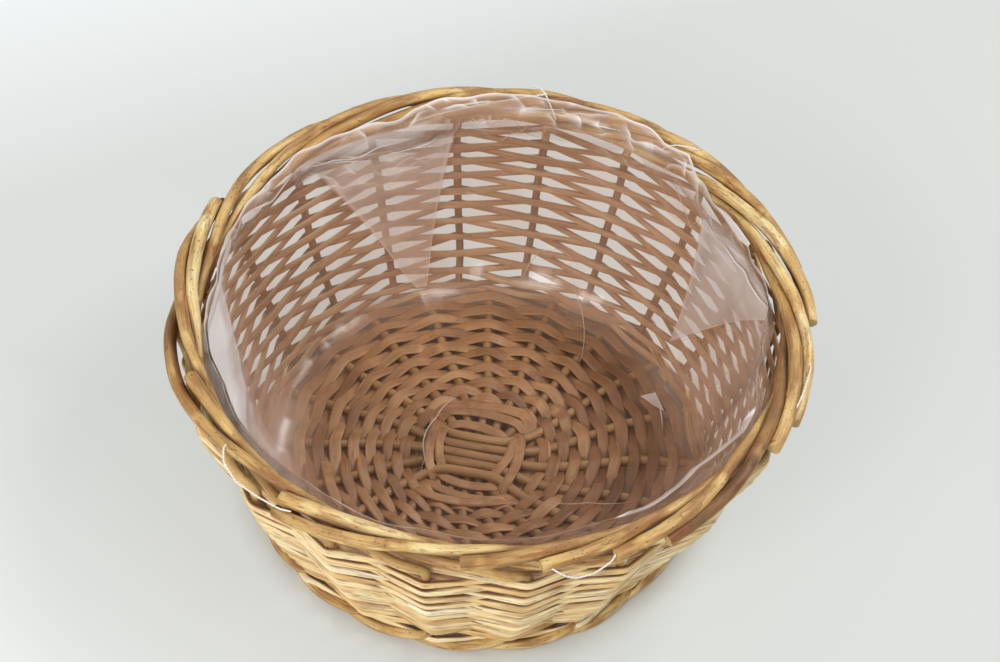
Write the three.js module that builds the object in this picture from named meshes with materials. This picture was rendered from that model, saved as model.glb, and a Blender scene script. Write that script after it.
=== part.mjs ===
// Round willow gift basket with a sewn-in liner of clear film.
// Millimetres, +Z up, origin on the floor under the middle of the basket, front towards -Y.
// Every wall stake is one willow rod: its thin end is twisted into the foot, its middle
// stands in the wall, and its thick end is rolled into the rope border at the rim.
// Angles are in degrees, measured anticlockwise from +X as seen from above.

import * as THREE from 'three';

// Overall size
const RIM_OUTER_RADIUS = 150;
const HEIGHT = 116;
const FOOT_OUTER_RADIUS = 115;
const CLEARANCE = 0.3;

// Star of sticks in the base: two crossed layers that fan out to the wall
const STICKS_PER_LAYER = 5;
const STICK_MIDDLE_DIAMETER = 4.6;
const STICK_END_DIAMETER = 4.2;
const STICK_SIDE_GAP = 0.8;
const STICK_END_INSET = 7;
const BASE_CROWN = 0.6;
const FAN_LIFT_SHARE = 0.5;

// Flat ties round the crossed sticks, and the flat skeins woven through the star
const TIE_WIDTH = 4.2;
const TIE_ROWS = 2;
const TIE_CORNER_ROOM = 1.25;
const SKEIN_THICKNESS = 1;
const SKEIN_SIDE_GAP = 0.5;
const BASE_ROWS = 15;
const BASE_SKEINS_PER_FAMILY = 3;
const BASE_TO_WALL_GAP = 0.6;

// Foot: the thin ends of the stakes, twisted loosely in pairs
const FOOT_ROD_DIAMETER = 4;
const FOOT_PLACES = 2.5;
const FOOT_REACH = 31.5;
const FOOT_STEP = 4.5;
const FOOT_FLAT_DEPTH = 0.75;
const TWIST_GAP = 0.4;

// Wall: stakes, and the split-willow weavers that pass them inside and outside by turns
const FOOT_SPREAD = 3.8;
const WALL_BULGE = 4;
const WALL_LEVELS = 5;
const STAKE_LOW_DIAMETER = 3.7;
const STAKE_HIGH_DIAMETER = 4.2;
const WALL_ROWS = 22;
const WEAVERS_PER_FAMILY = 6;
const WEAVER_THICKNESS = 1.7;
const ROW_GAP = 0.35;
const END_GAP = 0.4;

// Border: the thick ends of the stakes, rolled into a rope. Its places are the strands that
// would fill it, and the reaches say how far round the rim each stake runs to its cut butt.
const BORDER_ROD_DIAMETER = 6;
const BORDER_PLACES = 5.5;
const BORDER_START = 2;
const BORDER_START_TURN = -63;
const BORDER_STEP = 8;
const BORDER_REACHES = [
  76, 84, 82, 85, 80, 84, 82, 85, 83, 81, 85, 82, 69.5, 84, 60, 83, 64, 82, 66, 70.5,
];
const BORDER_OVERHANG = 1;
const BORDER_TO_WALL_GAP = 1.4;

// Film liner, with the folds that it hangs in, and the stitches that hold it
const FILM_THICKNESS = 0.4;
const LINER_SEGMENTS = 40;
const LINER_FOLDS = [
  { angle: 113, spread: 13, depth: 9 },
  { angle: 176, spread: 10, depth: 5 },
  { angle: 34, spread: 15, depth: 7 },
  { angle: 318, spread: 12, depth: 4 },
  { angle: 232, spread: 12, depth: 4 },
  { angle: 357, spread: 9, depth: 8 },
];
const THREAD_DIAMETER = 1.2;
const STITCH_STEPS = 6;
const STITCHES = [
  { from: 81, to: 109, drop: 4, rise: 2 },
  { from: 48, to: 56, drop: 15, rise: 6 },
  { from: 203, to: 224, drop: 9, rise: -3 },
  { from: 286, to: 296, drop: 10, rise: 5 },
];

const ROD_SIDES = 6;
const THREAD_SIDES = 5;
const DEGREE = Math.PI / 180;

// Angles that the repeats are set out by
const STAKES = 4 * STICKS_PER_LAYER;
const STAKE_ANGLE = 360 / STAKES;
const HALF_SPACING = Math.sin((STAKE_ANGLE / 2) * DEGREE);

// Radius of the helix that lets neighbouring strands of a rope just clear each other
function ropeHelixRadius(rodDiameter, places) {
  return (rodDiameter + TWIST_GAP) / (2 * Math.sin(Math.PI / places));
}

const borderHelix = ropeHelixRadius(BORDER_ROD_DIAMETER, BORDER_PLACES);
const borderHalf = borderHelix + BORDER_ROD_DIAMETER / 2;
const borderRadius = RIM_OUTER_RADIUS - borderHalf;
const borderZ = HEIGHT - borderHalf;

const footHelix = ropeHelixRadius(FOOT_ROD_DIAMETER, FOOT_PLACES);
const footRadius = FOOT_OUTER_RADIUS - footHelix - FOOT_ROD_DIAMETER / 2;
const footRodFlat = (FOOT_ROD_DIAMETER / 2) * Math.cos(Math.PI / ROD_SIDES);
const footZ = footHelix + footRodFlat - FOOT_FLAT_DEPTH;

// The stick ends lie on the foot, and the first row of the wall lies on the stick ends
const stickEndZ = footZ + FOOT_ROD_DIAMETER / 2 + CLEARANCE + STICK_END_DIAMETER / 2;
const stickEndRadius = FOOT_OUTER_RADIUS - STICK_END_INSET;
const weaveBottom = stickEndZ + STICK_END_DIAMETER / 2 + CLEARANCE;
const weaveTop = borderZ - borderHalf - BORDER_TO_WALL_GAP;
const rowPitch = (weaveTop - weaveBottom + ROW_GAP) / (WALL_ROWS + 1);
const rowHeight = rowPitch - ROW_GAP;
const firstRowZ = weaveBottom + rowHeight / 2;
const wallTopRadius = borderRadius - BORDER_OVERHANG;
const wallFootRadius = footRadius - FOOT_SPREAD;

function polar(angle, radius, z) {
  return new THREE.Vector3(radius * Math.cos(angle * DEGREE), radius * Math.sin(angle * DEGREE), z);
}

function mix(a, b, share) {
  return a + (b - a) * share;
}

// Straight lines between the [x, y] points of a table
function interpolate(table, x) {
  let i = 1;
  while (i < table.length - 1 && x > table[i][0]) {
    i += 1;
  }
  const [x0, y0] = table[i - 1];
  const [x1, y1] = table[i];
  return mix(y0, y1, (x - x0) / (x1 - x0));
}

// Centre line of a stake through the wall, in straight lengths between a few levels
const wallProfile = Array.from({ length: WALL_LEVELS }, (_, i) => {
  const t = i / (WALL_LEVELS - 1);
  const radius = mix(wallFootRadius, wallTopRadius, t) + 4 * WALL_BULGE * t * (1 - t);
  return [mix(weaveBottom, weaveTop, t), radius];
});

function wallRadius(z) {
  return interpolate(wallProfile, z);
}

function wallSlope(z) {
  const half = rowPitch / 2;
  return (wallRadius(z + half) - wallRadius(z - half)) / rowPitch;
}

function stakeRadius(z) {
  const t = (z - weaveBottom) / (weaveTop - weaveBottom);
  return mix(STAKE_LOW_DIAMETER, STAKE_HIGH_DIAMETER, THREE.MathUtils.clamp(t, 0, 1)) / 2;
}

// How far a straight-sided zigzag has to swing to keep the given reach from what it passes
function zigzagSwing(reach, spacing) {
  return (reach * spacing) / Math.sqrt(spacing ** 2 - 4 * reach ** 2);
}

// Turns rings of points into one closed body with a flat cap at each end
function bodyFromRings(rings) {
  const sides = rings[0].length;
  const last = (rings.length - 1) * sides;
  const index = [];
  for (let i = 0; i < last; i += sides) {
    for (let j = 0; j < sides; j += 1) {
      const a = i + j;
      const b = i + ((j + 1) % sides);
      index.push(a, b, b + sides, a, b + sides, a + sides);
    }
  }
  for (let j = 1; j + 1 < sides; j += 1) {
    index.push(0, j + 1, j, last, last + j, last + j + 1);
  }
  return closedGeometry(rings.flat(), index);
}

// Makes the geometry and turns its faces outward
function closedGeometry(points, index) {
  let volume = 0;
  for (let i = 0; i < index.length; i += 3) {
    const [a, b, c] = [points[index[i]], points[index[i + 1]], points[index[i + 2]]];
    volume += a.dot(new THREE.Vector3().crossVectors(b, c));
  }
  if (volume < 0) {
    index.reverse();
  }
  const geometry = new THREE.BufferGeometry();
  geometry.setAttribute('position', new THREE.Float32BufferAttribute(points.flatMap((p) => [p.x, p.y, p.z]), 3));
  geometry.setIndex(index);
  geometry.computeVertexNormals();
  return geometry;
}

// A round rod through stations of { angle, radius, z, size }, cut flat at the floor
function rodBody(stations, sides) {
  const points = stations.map((s) => polar(s.angle, s.radius, s.z));
  const rings = stations.map((station, i) => {
    const before = points[Math.max(i - 1, 0)];
    const after = points[Math.min(i + 1, points.length - 1)];
    const along = after.clone().sub(before).normalize();
    const outward = polar(station.angle, 1, 0);
    outward.addScaledVector(along, -outward.dot(along)).normalize();
    const across = new THREE.Vector3().crossVectors(along, outward);
    return Array.from({ length: sides }, (_, j) => {
      const turn = (2 * Math.PI * j) / sides;
      const p = points[i].clone();
      p.addScaledVector(outward, station.size * Math.cos(turn));
      p.addScaledVector(across, station.size * Math.sin(turn));
      p.z = Math.max(p.z, 0);
      return p;
    });
  });
  return bodyFromRings(rings);
}

function mixRings(ringA, ringB, share) {
  return ringA.map((p, i) => p.clone().lerp(ringB[i], share));
}

// Willow and film
const peeledWillow = new THREE.MeshStandardMaterial({ color: 0xd6b270, roughness: 0.55 });
const splitWillow = new THREE.MeshStandardMaterial({ color: 0xe2c48c, roughness: 0.6 });
const baseWillow = new THREE.MeshStandardMaterial({ color: 0xb08a5c, roughness: 0.65 });
const clearFilm = new THREE.MeshStandardMaterial({
  color: 0xe9e2e4,
  roughness: 0.12,
  transparent: true,
  opacity: 0.35,
  side: THREE.DoubleSide,
});
const whiteThread = new THREE.MeshStandardMaterial({ color: 0xf4f1ea, roughness: 0.8 });

function addPiece(group, name, geometry, material) {
  const mesh = new THREE.Mesh(geometry, material);
  mesh.name = name;
  group.add(mesh);
}

function numbered(stem, number) {
  return `${stem}_${String(number).padStart(2, '0')}`;
}

// Station of a strand that winds round the middle of a ring-shaped rope
function ropeStation(ring, angle, turn, size) {
  return {
    angle,
    radius: ring.radius + ring.helix * Math.cos(turn * DEGREE),
    z: ring.z + ring.helix * Math.sin(turn * DEGREE),
    size,
  };
}

// Two stations that round the corner between an upright and a rope
function cornerStations(from, corner, to) {
  return [1 / 3, 2 / 3].map((t) => {
    const blend = (key) => (1 - t) ** 2 * from[key] + 2 * t * (1 - t) * corner[key] + t ** 2 * to[key];
    return { angle: blend('angle'), radius: blend('radius'), z: blend('z'), size: mix(from.size, to.size, t) };
  });
}

// The foot strand starts at its tip on the inner side, passes under, and comes up to the stake
function footStations(stakeAngle) {
  const ring = { radius: footRadius, helix: footHelix, z: footZ };
  const turnRate = 360 / (FOOT_PLACES * STAKE_ANGLE);
  const stations = [];
  for (let back = FOOT_REACH; back >= FOOT_STEP; back -= FOOT_STEP) {
    stations.push(ropeStation(ring, stakeAngle - back, 90 - turnRate * back, FOOT_ROD_DIAMETER / 2));
  }
  return stations;
}

// The border strand leaves the stake low on the outside, passes under and up inside, and
// comes over the rim to the outside again
function borderStations(stakeAngle, reach) {
  const ring = { radius: borderRadius, helix: borderHelix, z: borderZ };
  const turnRate = 360 / (BORDER_PLACES * STAKE_ANGLE);
  const steps = Math.round((reach - BORDER_START) / BORDER_STEP);
  return Array.from({ length: steps + 1 }, (_, i) => {
    const back = mix(BORDER_START, reach, i / steps);
    return ropeStation(ring, stakeAngle - back, BORDER_START_TURN - turnRate * back, BORDER_ROD_DIAMETER / 2);
  });
}

function stakeBody(number) {
  const angle = STAKE_ANGLE * (number + 0.5);
  const foot = footStations(angle);
  const wall = wallProfile.map(([z, radius]) => ({ angle, radius, z, size: stakeRadius(z) }));
  const border = borderStations(angle, BORDER_REACHES[number]);
  const footCorner = { angle, radius: footRadius, z: footZ + footHelix };
  const borderCorner = { angle, radius: wallTopRadius, z: mix(weaveTop, border[0].z, 0.5) };
  const stations = [
    ...foot,
    ...cornerStations(foot.at(-1), footCorner, wall[0]),
    ...wall,
    ...cornerStations(wall.at(-1), borderCorner, border[0]),
    ...border,
  ];
  return rodBody(stations, ROD_SIDES);
}

// Distances from the middle of the base outward
const stickPitch = STICK_MIDDLE_DIAMETER + STICK_SIDE_GAP;
const crossHalf = (stickPitch * (STICKS_PER_LAYER - 1) + STICK_MIDDLE_DIAMETER) / 2;
const layerLift = (STICK_MIDDLE_DIAMETER + CLEARANCE) / 2;
const tieReach = (STICK_MIDDLE_DIAMETER + SKEIN_THICKNESS) / 2 + CLEARANCE;
const firstTieRadius = (TIE_CORNER_ROOM * tieReach) / HALF_SPACING;
const tiePitch = TIE_WIDTH + SKEIN_SIDE_GAP;
const fanRadius = firstTieRadius - TIE_WIDTH / 2;
const skeinInner = firstTieRadius + (TIE_ROWS - 0.5) * tiePitch + SKEIN_SIDE_GAP / 2;
const outerStickReach = (STICK_END_DIAMETER + WEAVER_THICKNESS) / 2 + CLEARANCE;
const skeinOuter = wallFootRadius - outerStickReach - WEAVER_THICKNESS - BASE_TO_WALL_GAP;
const skeinPitch = (skeinOuter - skeinInner + SKEIN_SIDE_GAP) / (BASE_ROWS + 1);
const skeinWidth = skeinPitch - SKEIN_SIDE_GAP;

function crownZ(radius) {
  return stickEndZ + BASE_CROWN * (1 - (radius / stickEndRadius) ** 2);
}

// Height of the sticks where they run straight outward: +1 is the upper layer, -1 the lower
const starRadii = [fanRadius, skeinInner, mix(skeinInner, stickEndRadius, 0.5), stickEndRadius];

function starHeight(radius, layer) {
  const lifts = [FAN_LIFT_SHARE * layerLift, 0, 0, 0];
  return interpolate(starRadii.map((r, i) => [r, crownZ(r) + layer * lifts[i]]), radius);
}

function stickRadius(radius) {
  const share = THREE.MathUtils.clamp(radius / stickEndRadius, 0, 1);
  return mix(STICK_MIDDLE_DIAMETER, STICK_END_DIAMETER, share) / 2;
}

// Half of a stick, from the middle outward, towards +X for side 1 and -X for side -1
function halfStick(place, layer, side) {
  const offset = place * stickPitch;
  const edge = new THREE.Vector2(side * crossHalf, offset);
  const fanAngle = side > 0 ? place * STAKE_ANGLE : 180 - place * STAKE_ANGLE;
  const points = starRadii.map((r) => polar(fanAngle, r, starHeight(r, layer)));
  const edgeZ = crownZ(edge.length()) + layer * layerLift;
  return [new THREE.Vector3(edge.x, edge.y, edgeZ), ...points];
}

function stickBody(place, layer) {
  const middleY = place * stickPitch;
  const middle = new THREE.Vector3(0, middleY, crownZ(Math.abs(middleY)) + layer * layerLift);
  const path = [...halfStick(place, layer, -1).reverse(), middle, ...halfStick(place, layer, 1)];
  const rings = path.map((point, i) => {
    const before = path[Math.max(i - 1, 0)];
    const after = path[Math.min(i + 1, path.length - 1)];
    const along = after.clone().sub(before).normalize();
    const across = new THREE.Vector3().crossVectors(new THREE.Vector3(0, 0, 1), along).normalize();
    const upward = new THREE.Vector3().crossVectors(along, across);
    const size = stickRadius(Math.hypot(point.x, point.y));
    return Array.from({ length: ROD_SIDES }, (_, j) => {
      const turn = (2 * Math.PI * (j + 0.5)) / ROD_SIDES;
      const p = point.clone();
      p.addScaledVector(across, size * Math.cos(turn));
      return p.addScaledVector(upward, size * Math.sin(turn));
    });
  });
  const body = bodyFromRings(rings);
  return layer > 0 ? body : body.rotateZ(Math.PI / 2);
}

// One ring of a flat strip in the base: it runs round the middle and leans by `lean`
function stripRing(angle, radius, width, height, lean) {
  const corners = [[-1, -1], [1, -1], [1, 1], [-1, 1]];
  return corners.map(([out, up]) => {
    const r = radius + (out * width) / 2;
    const shift = (lean * up * SKEIN_THICKNESS) / 2 / radius / DEGREE;
    return polar(angle + shift, r, height(r) + (up * SKEIN_THICKNESS) / 2);
  });
}

// A tie runs over the five sticks of one side and under the five of the next, all round.
// `over` is the layer that it passes over.
function tieBody(row, over) {
  const sideRadius = (place) => {
    const corner = Math.cos(((STICKS_PER_LAYER - 1) / 2) * STAKE_ANGLE * DEGREE);
    const reach = (firstTieRadius + row * tiePitch) * Math.sqrt(corner);
    return reach / Math.sqrt(Math.cos(place * STAKE_ANGLE * DEGREE));
  };
  const outerPlace = (STICKS_PER_LAYER - 1) / 2;
  const cornerRadius = sideRadius(outerPlace);
  const spacing = 2 * cornerRadius * HALF_SPACING;
  const drop = Math.abs(
    starHeight(cornerRadius, 1) + over * tieReach - (starHeight(cornerRadius, -1) - over * tieReach)
  );
  // Slope of the strip where it dives between two sticks, found by repeated correction
  let slope = Math.PI / 4;
  for (let i = 0; i < 40; i += 1) {
    slope = Math.atan2(drop, spacing - 2 * tieReach * Math.tan(slope / 2));
  }
  const shoulder = (tieReach * Math.tan(slope / 2)) / cornerRadius / DEGREE;
  const rings = [];
  for (let side = 0; side < 4; side += 1) {
    const layer = side % 2 === 0 ? 1 : -1;
    const pass = layer * over;
    for (let place = -outerPlace; place <= outerPlace; place += 1) {
      const atCorner = Math.abs(place) === outerPlace;
      const beyond = atCorner ? Math.sign(place) : 0;
      const angle = side * 90 + place * STAKE_ANGLE + beyond * shoulder;
      const lean = beyond * pass * Math.tan(slope / 2);
      const height = (r) => starHeight(r, layer) + pass * tieReach;
      rings.push(stripRing(angle, sideRadius(place), TIE_WIDTH, height, lean));
    }
  }
  const closing = mixRings(rings.at(-1), rings[0], 0.5);
  const opening = mixRings(rings.at(-1), rings[0], 0.5 + CLEARANCE / spacing);
  return bodyFromRings([opening, ...rings, closing]);
}

// Ring of a base skein at the given count of sticks; family 0 starts half a turn before family 1
function skeinRing(count, family) {
  const pass = (count + family) % 2 === 0 ? -1 : 1;
  const radius = skeinInner + skeinWidth / 2 + (2 * skeinPitch * (count - (family * STAKES) / 2)) / STAKES;
  const spacing = 2 * radius * HALF_SPACING;
  const reach = stickRadius(radius - skeinWidth / 2) + SKEIN_THICKNESS / 2 + CLEARANCE;
  const swing = zigzagSwing(reach, spacing);
  const height = (r) => starHeight(r, 0) + pass * swing;
  return stripRing(count * STAKE_ANGLE, radius, skeinWidth, height, 0);
}

// Ring of a wall weaver where it passes a stake, inside or outside
function weaverRing(count, family) {
  const pass = (count + family) % 2 === 0 ? -1 : 1;
  const z = firstRowZ + (2 * rowPitch * (count - (family * STAKES) / 2)) / STAKES;
  const slope = wallSlope(z);
  const lean = Math.hypot(1, slope);
  const spacing = 2 * wallRadius(z) * HALF_SPACING;
  const reach = (stakeRadius(z + rowHeight / 2) + WEAVER_THICKNESS / 2 + CLEARANCE) * lean;
  const swing = zigzagSwing(reach, spacing);
  const thickness = WEAVER_THICKNESS * lean * Math.hypot(1, (2 * swing) / spacing);
  const corners = [[-1, -1], [1, -1], [1, 1], [-1, 1]];
  return corners.map(([out, up]) => {
    const level = z + (up * rowHeight) / 2;
    const radius = wallRadius(z) + (slope * up * rowHeight) / 2 + pass * swing + (out * thickness) / 2;
    return polar((count + 0.5) * STAKE_ANGLE, radius, level);
  });
}

// Cuts a long spiral into lengths that each start and end behind a stake or stick
function strandBodies(ringAt, family, rows, strands) {
  const start = family * (STAKES / 2 + 1);
  const end = (rows * STAKES) / 2 + family * (STAKES / 2 - 1);
  const cuts = Array.from({ length: strands + 1 }, (_, i) => {
    return start + 2 * Math.round(((end - start) * i) / strands / 2);
  });
  return cuts.slice(1).map((to, i) => {
    const rings = [];
    for (let count = cuts[i]; count <= to; count += 1) {
      rings.push(ringAt(count, family));
    }
    const endShare = END_GAP / rings[0][0].distanceTo(rings[1][0]);
    rings[0] = mixRings(rings[0], rings[1], endShare);
    rings[rings.length - 1] = mixRings(rings.at(-1), rings.at(-2), endShare);
    return bodyFromRings(rings);
  });
}

// The liner keeps clear of the weave: `bare` is its outer face without folds
const tallestReach = (STAKE_HIGH_DIAMETER + WEAVER_THICKNESS) / 2 + CLEARANCE;
const linerInset = (tallestReach + WEAVER_THICKNESS / 2) * Math.hypot(1, wallSlope(firstRowZ)) + 0.2 + CLEARANCE;
const linerTop = borderZ;
const linerCornerZ = stickEndZ + zigzagSwing(outerStickReach, 2 * skeinOuter * HALF_SPACING)
  + SKEIN_THICKNESS / 2 + CLEARANCE;
const tieLift = layerLift + STICK_MIDDLE_DIAMETER / 2 + SKEIN_THICKNESS + 2 * CLEARANCE;

function foldDepth(angle, z) {
  const t = (z - linerCornerZ) / (linerTop - linerCornerZ);
  const swell = Math.sin(Math.PI * (0.1 + 0.7 * t));
  const depths = LINER_FOLDS.map((fold) => {
    const away = THREE.MathUtils.euclideanModulo(angle - fold.angle + 180, 360) - 180;
    return fold.depth * Math.exp(-((away / fold.spread) ** 2));
  });
  return swell * Math.max(...depths);
}

// Radius of the film's outer face in the wall
function linerRadius(angle, z) {
  const rimInner = borderRadius - borderHalf - CLEARANCE;
  const bare = Math.min(wallRadius(Math.min(z, weaveTop)) - linerInset, rimInner);
  return bare - foldDepth(angle, z);
}

const linerLevels = [linerCornerZ, ...wallProfile.slice(1).map(([z]) => z), linerTop];
const linerFloor = [
  [0.5, crownZ(0) + tieLift],
  [skeinInner, crownZ(skeinInner) + tieLift],
  [mix(skeinInner, skeinOuter, 0.5), crownZ(skeinInner) + tieLift - BASE_CROWN / 2],
];

// The film is one thin closed body: its outer face, and its inner face inside that
function linerBody() {
  const shell = (inset) => {
    const rings = linerFloor.map(([radius, z]) => ringOf(() => radius, z + inset));
    linerLevels.forEach((z, i) => {
      const lift = i === 0 ? inset : 0;
      rings.push(ringOf((angle) => linerRadius(angle, z) - inset, z + lift));
    });
    return rings;
  };
  const ringOf = (radiusAt, z) => Array.from({ length: LINER_SEGMENTS }, (_, i) => {
    const angle = (360 * i) / LINER_SEGMENTS;
    return polar(angle, radiusAt(angle), z);
  });
  return bodyFromRings([...shell(0), ...shell(FILM_THICKNESS).reverse()]);
}

// Radius of the flat facet of the film's outer face, which lies inside the smooth one
function filmFacetRadius(angle, z) {
  const stepAngle = 360 / LINER_SEGMENTS;
  const a = Math.floor(angle / stepAngle) * stepAngle;
  const level = linerLevels.findIndex((top) => top >= z);
  const corners = [a, a + stepAngle].flatMap((side) => {
    return [linerLevels[level - 1], linerLevels[level]].map((height) => [side, height]);
  });
  const share = (z - linerLevels[level - 1]) / (linerLevels[level] - linerLevels[level - 1]);
  const [lowA, highA, lowB, highB] = corners.map(([side, height]) => linerRadius(side, height));
  return mix(mix(lowA, highA, share), mix(lowB, highB, share), (angle - a) / stepAngle);
}

// A stitch runs straight across the inside of the film, just under the border, between the
// two places where it goes through. A slack one is drawn up in its middle.
function stitchBody({ from, to, drop, rise }) {
  const gap = FILM_THICKNESS + 1.5 * CLEARANCE + THREAD_DIAMETER / 2;
  const [start, end] = [from, to].map((angle) => {
    return polar(angle, filmFacetRadius(angle, linerTop - drop) - gap, linerTop - drop);
  });
  const stations = Array.from({ length: STITCH_STEPS + 1 }, (_, i) => {
    const t = i / STITCH_STEPS;
    const point = start.clone().lerp(end, t);
    const angle = Math.atan2(point.y, point.x) / DEGREE;
    const z = point.z + rise * Math.sin(Math.PI * t);
    return { angle, radius: Math.hypot(point.x, point.y), z, size: THREAD_DIAMETER / 2 };
  });
  return rodBody(stations, THREAD_SIDES);
}

const basket = new THREE.Group();

const base = new THREE.Group();
basket.add(base);
for (let i = 0; i < STICKS_PER_LAYER; i += 1) {
  const place = i - (STICKS_PER_LAYER - 1) / 2;
  addPiece(base, `base_stick_upper_${i + 1}`, stickBody(place, 1), baseWillow);
  addPiece(base, `base_stick_lower_${i + 1}`, stickBody(place, -1), baseWillow);
}
for (let row = 0; row < TIE_ROWS; row += 1) {
  addPiece(base, `base_tie_${row + 1}`, tieBody(row, row % 2 === 0 ? 1 : -1), baseWillow);
}
[0, 1].forEach((family) => {
  strandBodies(skeinRing, family, BASE_ROWS, BASE_SKEINS_PER_FAMILY).forEach((body, i) => {
    addPiece(base, `base_skein_${2 * i + family + 1}`, body, baseWillow);
  });
});

const wall = new THREE.Group();
basket.add(wall);
for (let i = 0; i < STAKES; i += 1) {
  addPiece(wall, numbered('stake', i + 1), stakeBody(i), peeledWillow);
}
[0, 1].forEach((family) => {
  strandBodies(weaverRing, family, WALL_ROWS, WEAVERS_PER_FAMILY).forEach((body, i) => {
    addPiece(wall, numbered('wall_weaver', 2 * i + family + 1), body, splitWillow);
  });
});

const lining = new THREE.Group();
basket.add(lining);
addPiece(lining, 'film_liner', linerBody(), clearFilm);
STITCHES.forEach((stitch, i) => {
  addPiece(lining, `liner_stitch_${i + 1}`, stitchBody(stitch), whiteThread);
});

export default basket;
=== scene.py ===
import math

import bpy
import numpy as np
from mathutils import Matrix, Vector, noise


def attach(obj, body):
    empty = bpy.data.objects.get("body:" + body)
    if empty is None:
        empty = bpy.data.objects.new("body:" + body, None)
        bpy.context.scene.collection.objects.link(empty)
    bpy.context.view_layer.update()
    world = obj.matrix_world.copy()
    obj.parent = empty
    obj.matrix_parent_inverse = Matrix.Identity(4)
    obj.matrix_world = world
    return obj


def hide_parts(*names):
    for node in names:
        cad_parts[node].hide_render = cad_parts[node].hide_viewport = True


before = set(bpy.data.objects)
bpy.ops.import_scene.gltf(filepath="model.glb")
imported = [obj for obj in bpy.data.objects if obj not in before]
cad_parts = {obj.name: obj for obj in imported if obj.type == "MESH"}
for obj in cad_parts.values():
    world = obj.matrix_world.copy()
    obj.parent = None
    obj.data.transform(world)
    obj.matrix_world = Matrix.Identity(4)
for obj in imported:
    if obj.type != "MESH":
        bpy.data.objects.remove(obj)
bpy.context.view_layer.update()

MM = 0.001

# The frame's sizes: the woven body
RIM_OUTER_RADIUS = 150.0
HEIGHT = 116.0
FOOT_OUTER_RADIUS = 115.0
CLEARANCE = 0.3
STAKES = 20
STAKE_ANGLE = 360.0 / STAKES
HALF_SPACING = math.sin(math.radians(STAKE_ANGLE / 2))

# Base
STICKS_PER_LAYER = 5
STICK_MIDDLE_DIAMETER = 4.6
STICK_END_DIAMETER = 4.2
STICK_SIDE_GAP = 0.8
STICK_END_INSET = 7.0
BASE_CROWN = 0.6
FAN_LIFT_SHARE = 0.5
TIE_WIDTH = 4.2
TIE_ROWS = 2
TIE_CORNER_ROOM = 1.25
SKEIN_THICKNESS = 1.0
SKEIN_SIDE_GAP = 0.5
BASE_ROWS = 15
BASE_SKEINS_PER_FAMILY = 3

# Foot
FOOT_ROD_DIAMETER = 4.0
FOOT_PLACES = 2.5
FOOT_REACH = 31.5
FOOT_STEP = 4.5
FOOT_FLAT_DEPTH = 0.75
TWIST_GAP = 0.4

# Wall
FOOT_SPREAD = 3.8
WALL_BULGE = 4.0
STAKE_LOW_DIAMETER = 3.7
STAKE_HIGH_DIAMETER = 4.2
WALL_ROWS = 22
WEAVERS_PER_FAMILY = 6
ROW_GAP = 0.35

# Border
BORDER_ROD_DIAMETER = 6.0
BORDER_PLACES = 5.5
BORDER_START = 2.0
BORDER_START_TURN = -63.0
BORDER_REACHES = [76, 84, 82, 85, 80, 84, 82, 85, 83, 81, 85, 82, 69.5, 84, 60, 83, 64, 82, 66, 70.5]
BORDER_OVERHANG = 1.0
BORDER_TO_WALL_GAP = 1.4

THREAD_DIAMETER = 1.2

# Where the random numbers of each kind of piece start
STAKE_SEEDS = 100
STRIP_SEEDS = 300
STICK_SEEDS = 500
TIE_SEEDS = 600
SKEIN_SEEDS = 700
THREAD_SEEDS = 900


def helix_radius(rod_diameter, places):
    return (rod_diameter + TWIST_GAP) / (2 * math.sin(math.pi / places))


border_helix = helix_radius(BORDER_ROD_DIAMETER, BORDER_PLACES)
border_half = border_helix + BORDER_ROD_DIAMETER / 2
border_radius = RIM_OUTER_RADIUS - border_half
border_z = HEIGHT - border_half
foot_helix = helix_radius(FOOT_ROD_DIAMETER, FOOT_PLACES)
foot_radius = FOOT_OUTER_RADIUS - foot_helix - FOOT_ROD_DIAMETER / 2
foot_z = foot_helix + FOOT_ROD_DIAMETER / 2 * math.cos(math.pi / 6) - FOOT_FLAT_DEPTH
stick_end_z = foot_z + FOOT_ROD_DIAMETER / 2 + CLEARANCE + STICK_END_DIAMETER / 2
stick_end_radius = FOOT_OUTER_RADIUS - STICK_END_INSET
weave_bottom = stick_end_z + STICK_END_DIAMETER / 2 + CLEARANCE
weave_top = border_z - border_half - BORDER_TO_WALL_GAP
row_pitch = (weave_top - weave_bottom + ROW_GAP) / (WALL_ROWS + 1)
row_height = row_pitch - ROW_GAP
first_row_z = weave_bottom + row_height / 2
wall_top_radius = border_radius - BORDER_OVERHANG
wall_foot_radius = foot_radius - FOOT_SPREAD

stick_pitch = STICK_MIDDLE_DIAMETER + STICK_SIDE_GAP
cross_half = (stick_pitch * (STICKS_PER_LAYER - 1) + STICK_MIDDLE_DIAMETER) / 2
layer_lift = (STICK_MIDDLE_DIAMETER + CLEARANCE) / 2
tie_reach = (STICK_MIDDLE_DIAMETER + SKEIN_THICKNESS) / 2 + CLEARANCE
first_tie_radius = TIE_CORNER_ROOM * tie_reach / HALF_SPACING
tie_pitch = TIE_WIDTH + SKEIN_SIDE_GAP
fan_radius = first_tie_radius - TIE_WIDTH / 2
skein_inner = first_tie_radius + (TIE_ROWS - 0.5) * tie_pitch + SKEIN_SIDE_GAP / 2


def between(low, high, share):
    return low + (high - low) * share


def wall_share(z):
    """How far up the woven wall a height is, from 0 to 1."""
    return np.clip((np.asarray(z, float) - weave_bottom) / (weave_top - weave_bottom), 0, 1)


def wall_radius(z):
    t = wall_share(z)
    return between(wall_foot_radius, wall_top_radius, t) + 4 * WALL_BULGE * t * (1 - t)


def wall_slope(z):
    return (wall_radius(z + 1) - wall_radius(z - 1)) / 2


def stake_size(z):
    return between(STAKE_LOW_DIAMETER, STAKE_HIGH_DIAMETER, wall_share(z)) / 2


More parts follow.
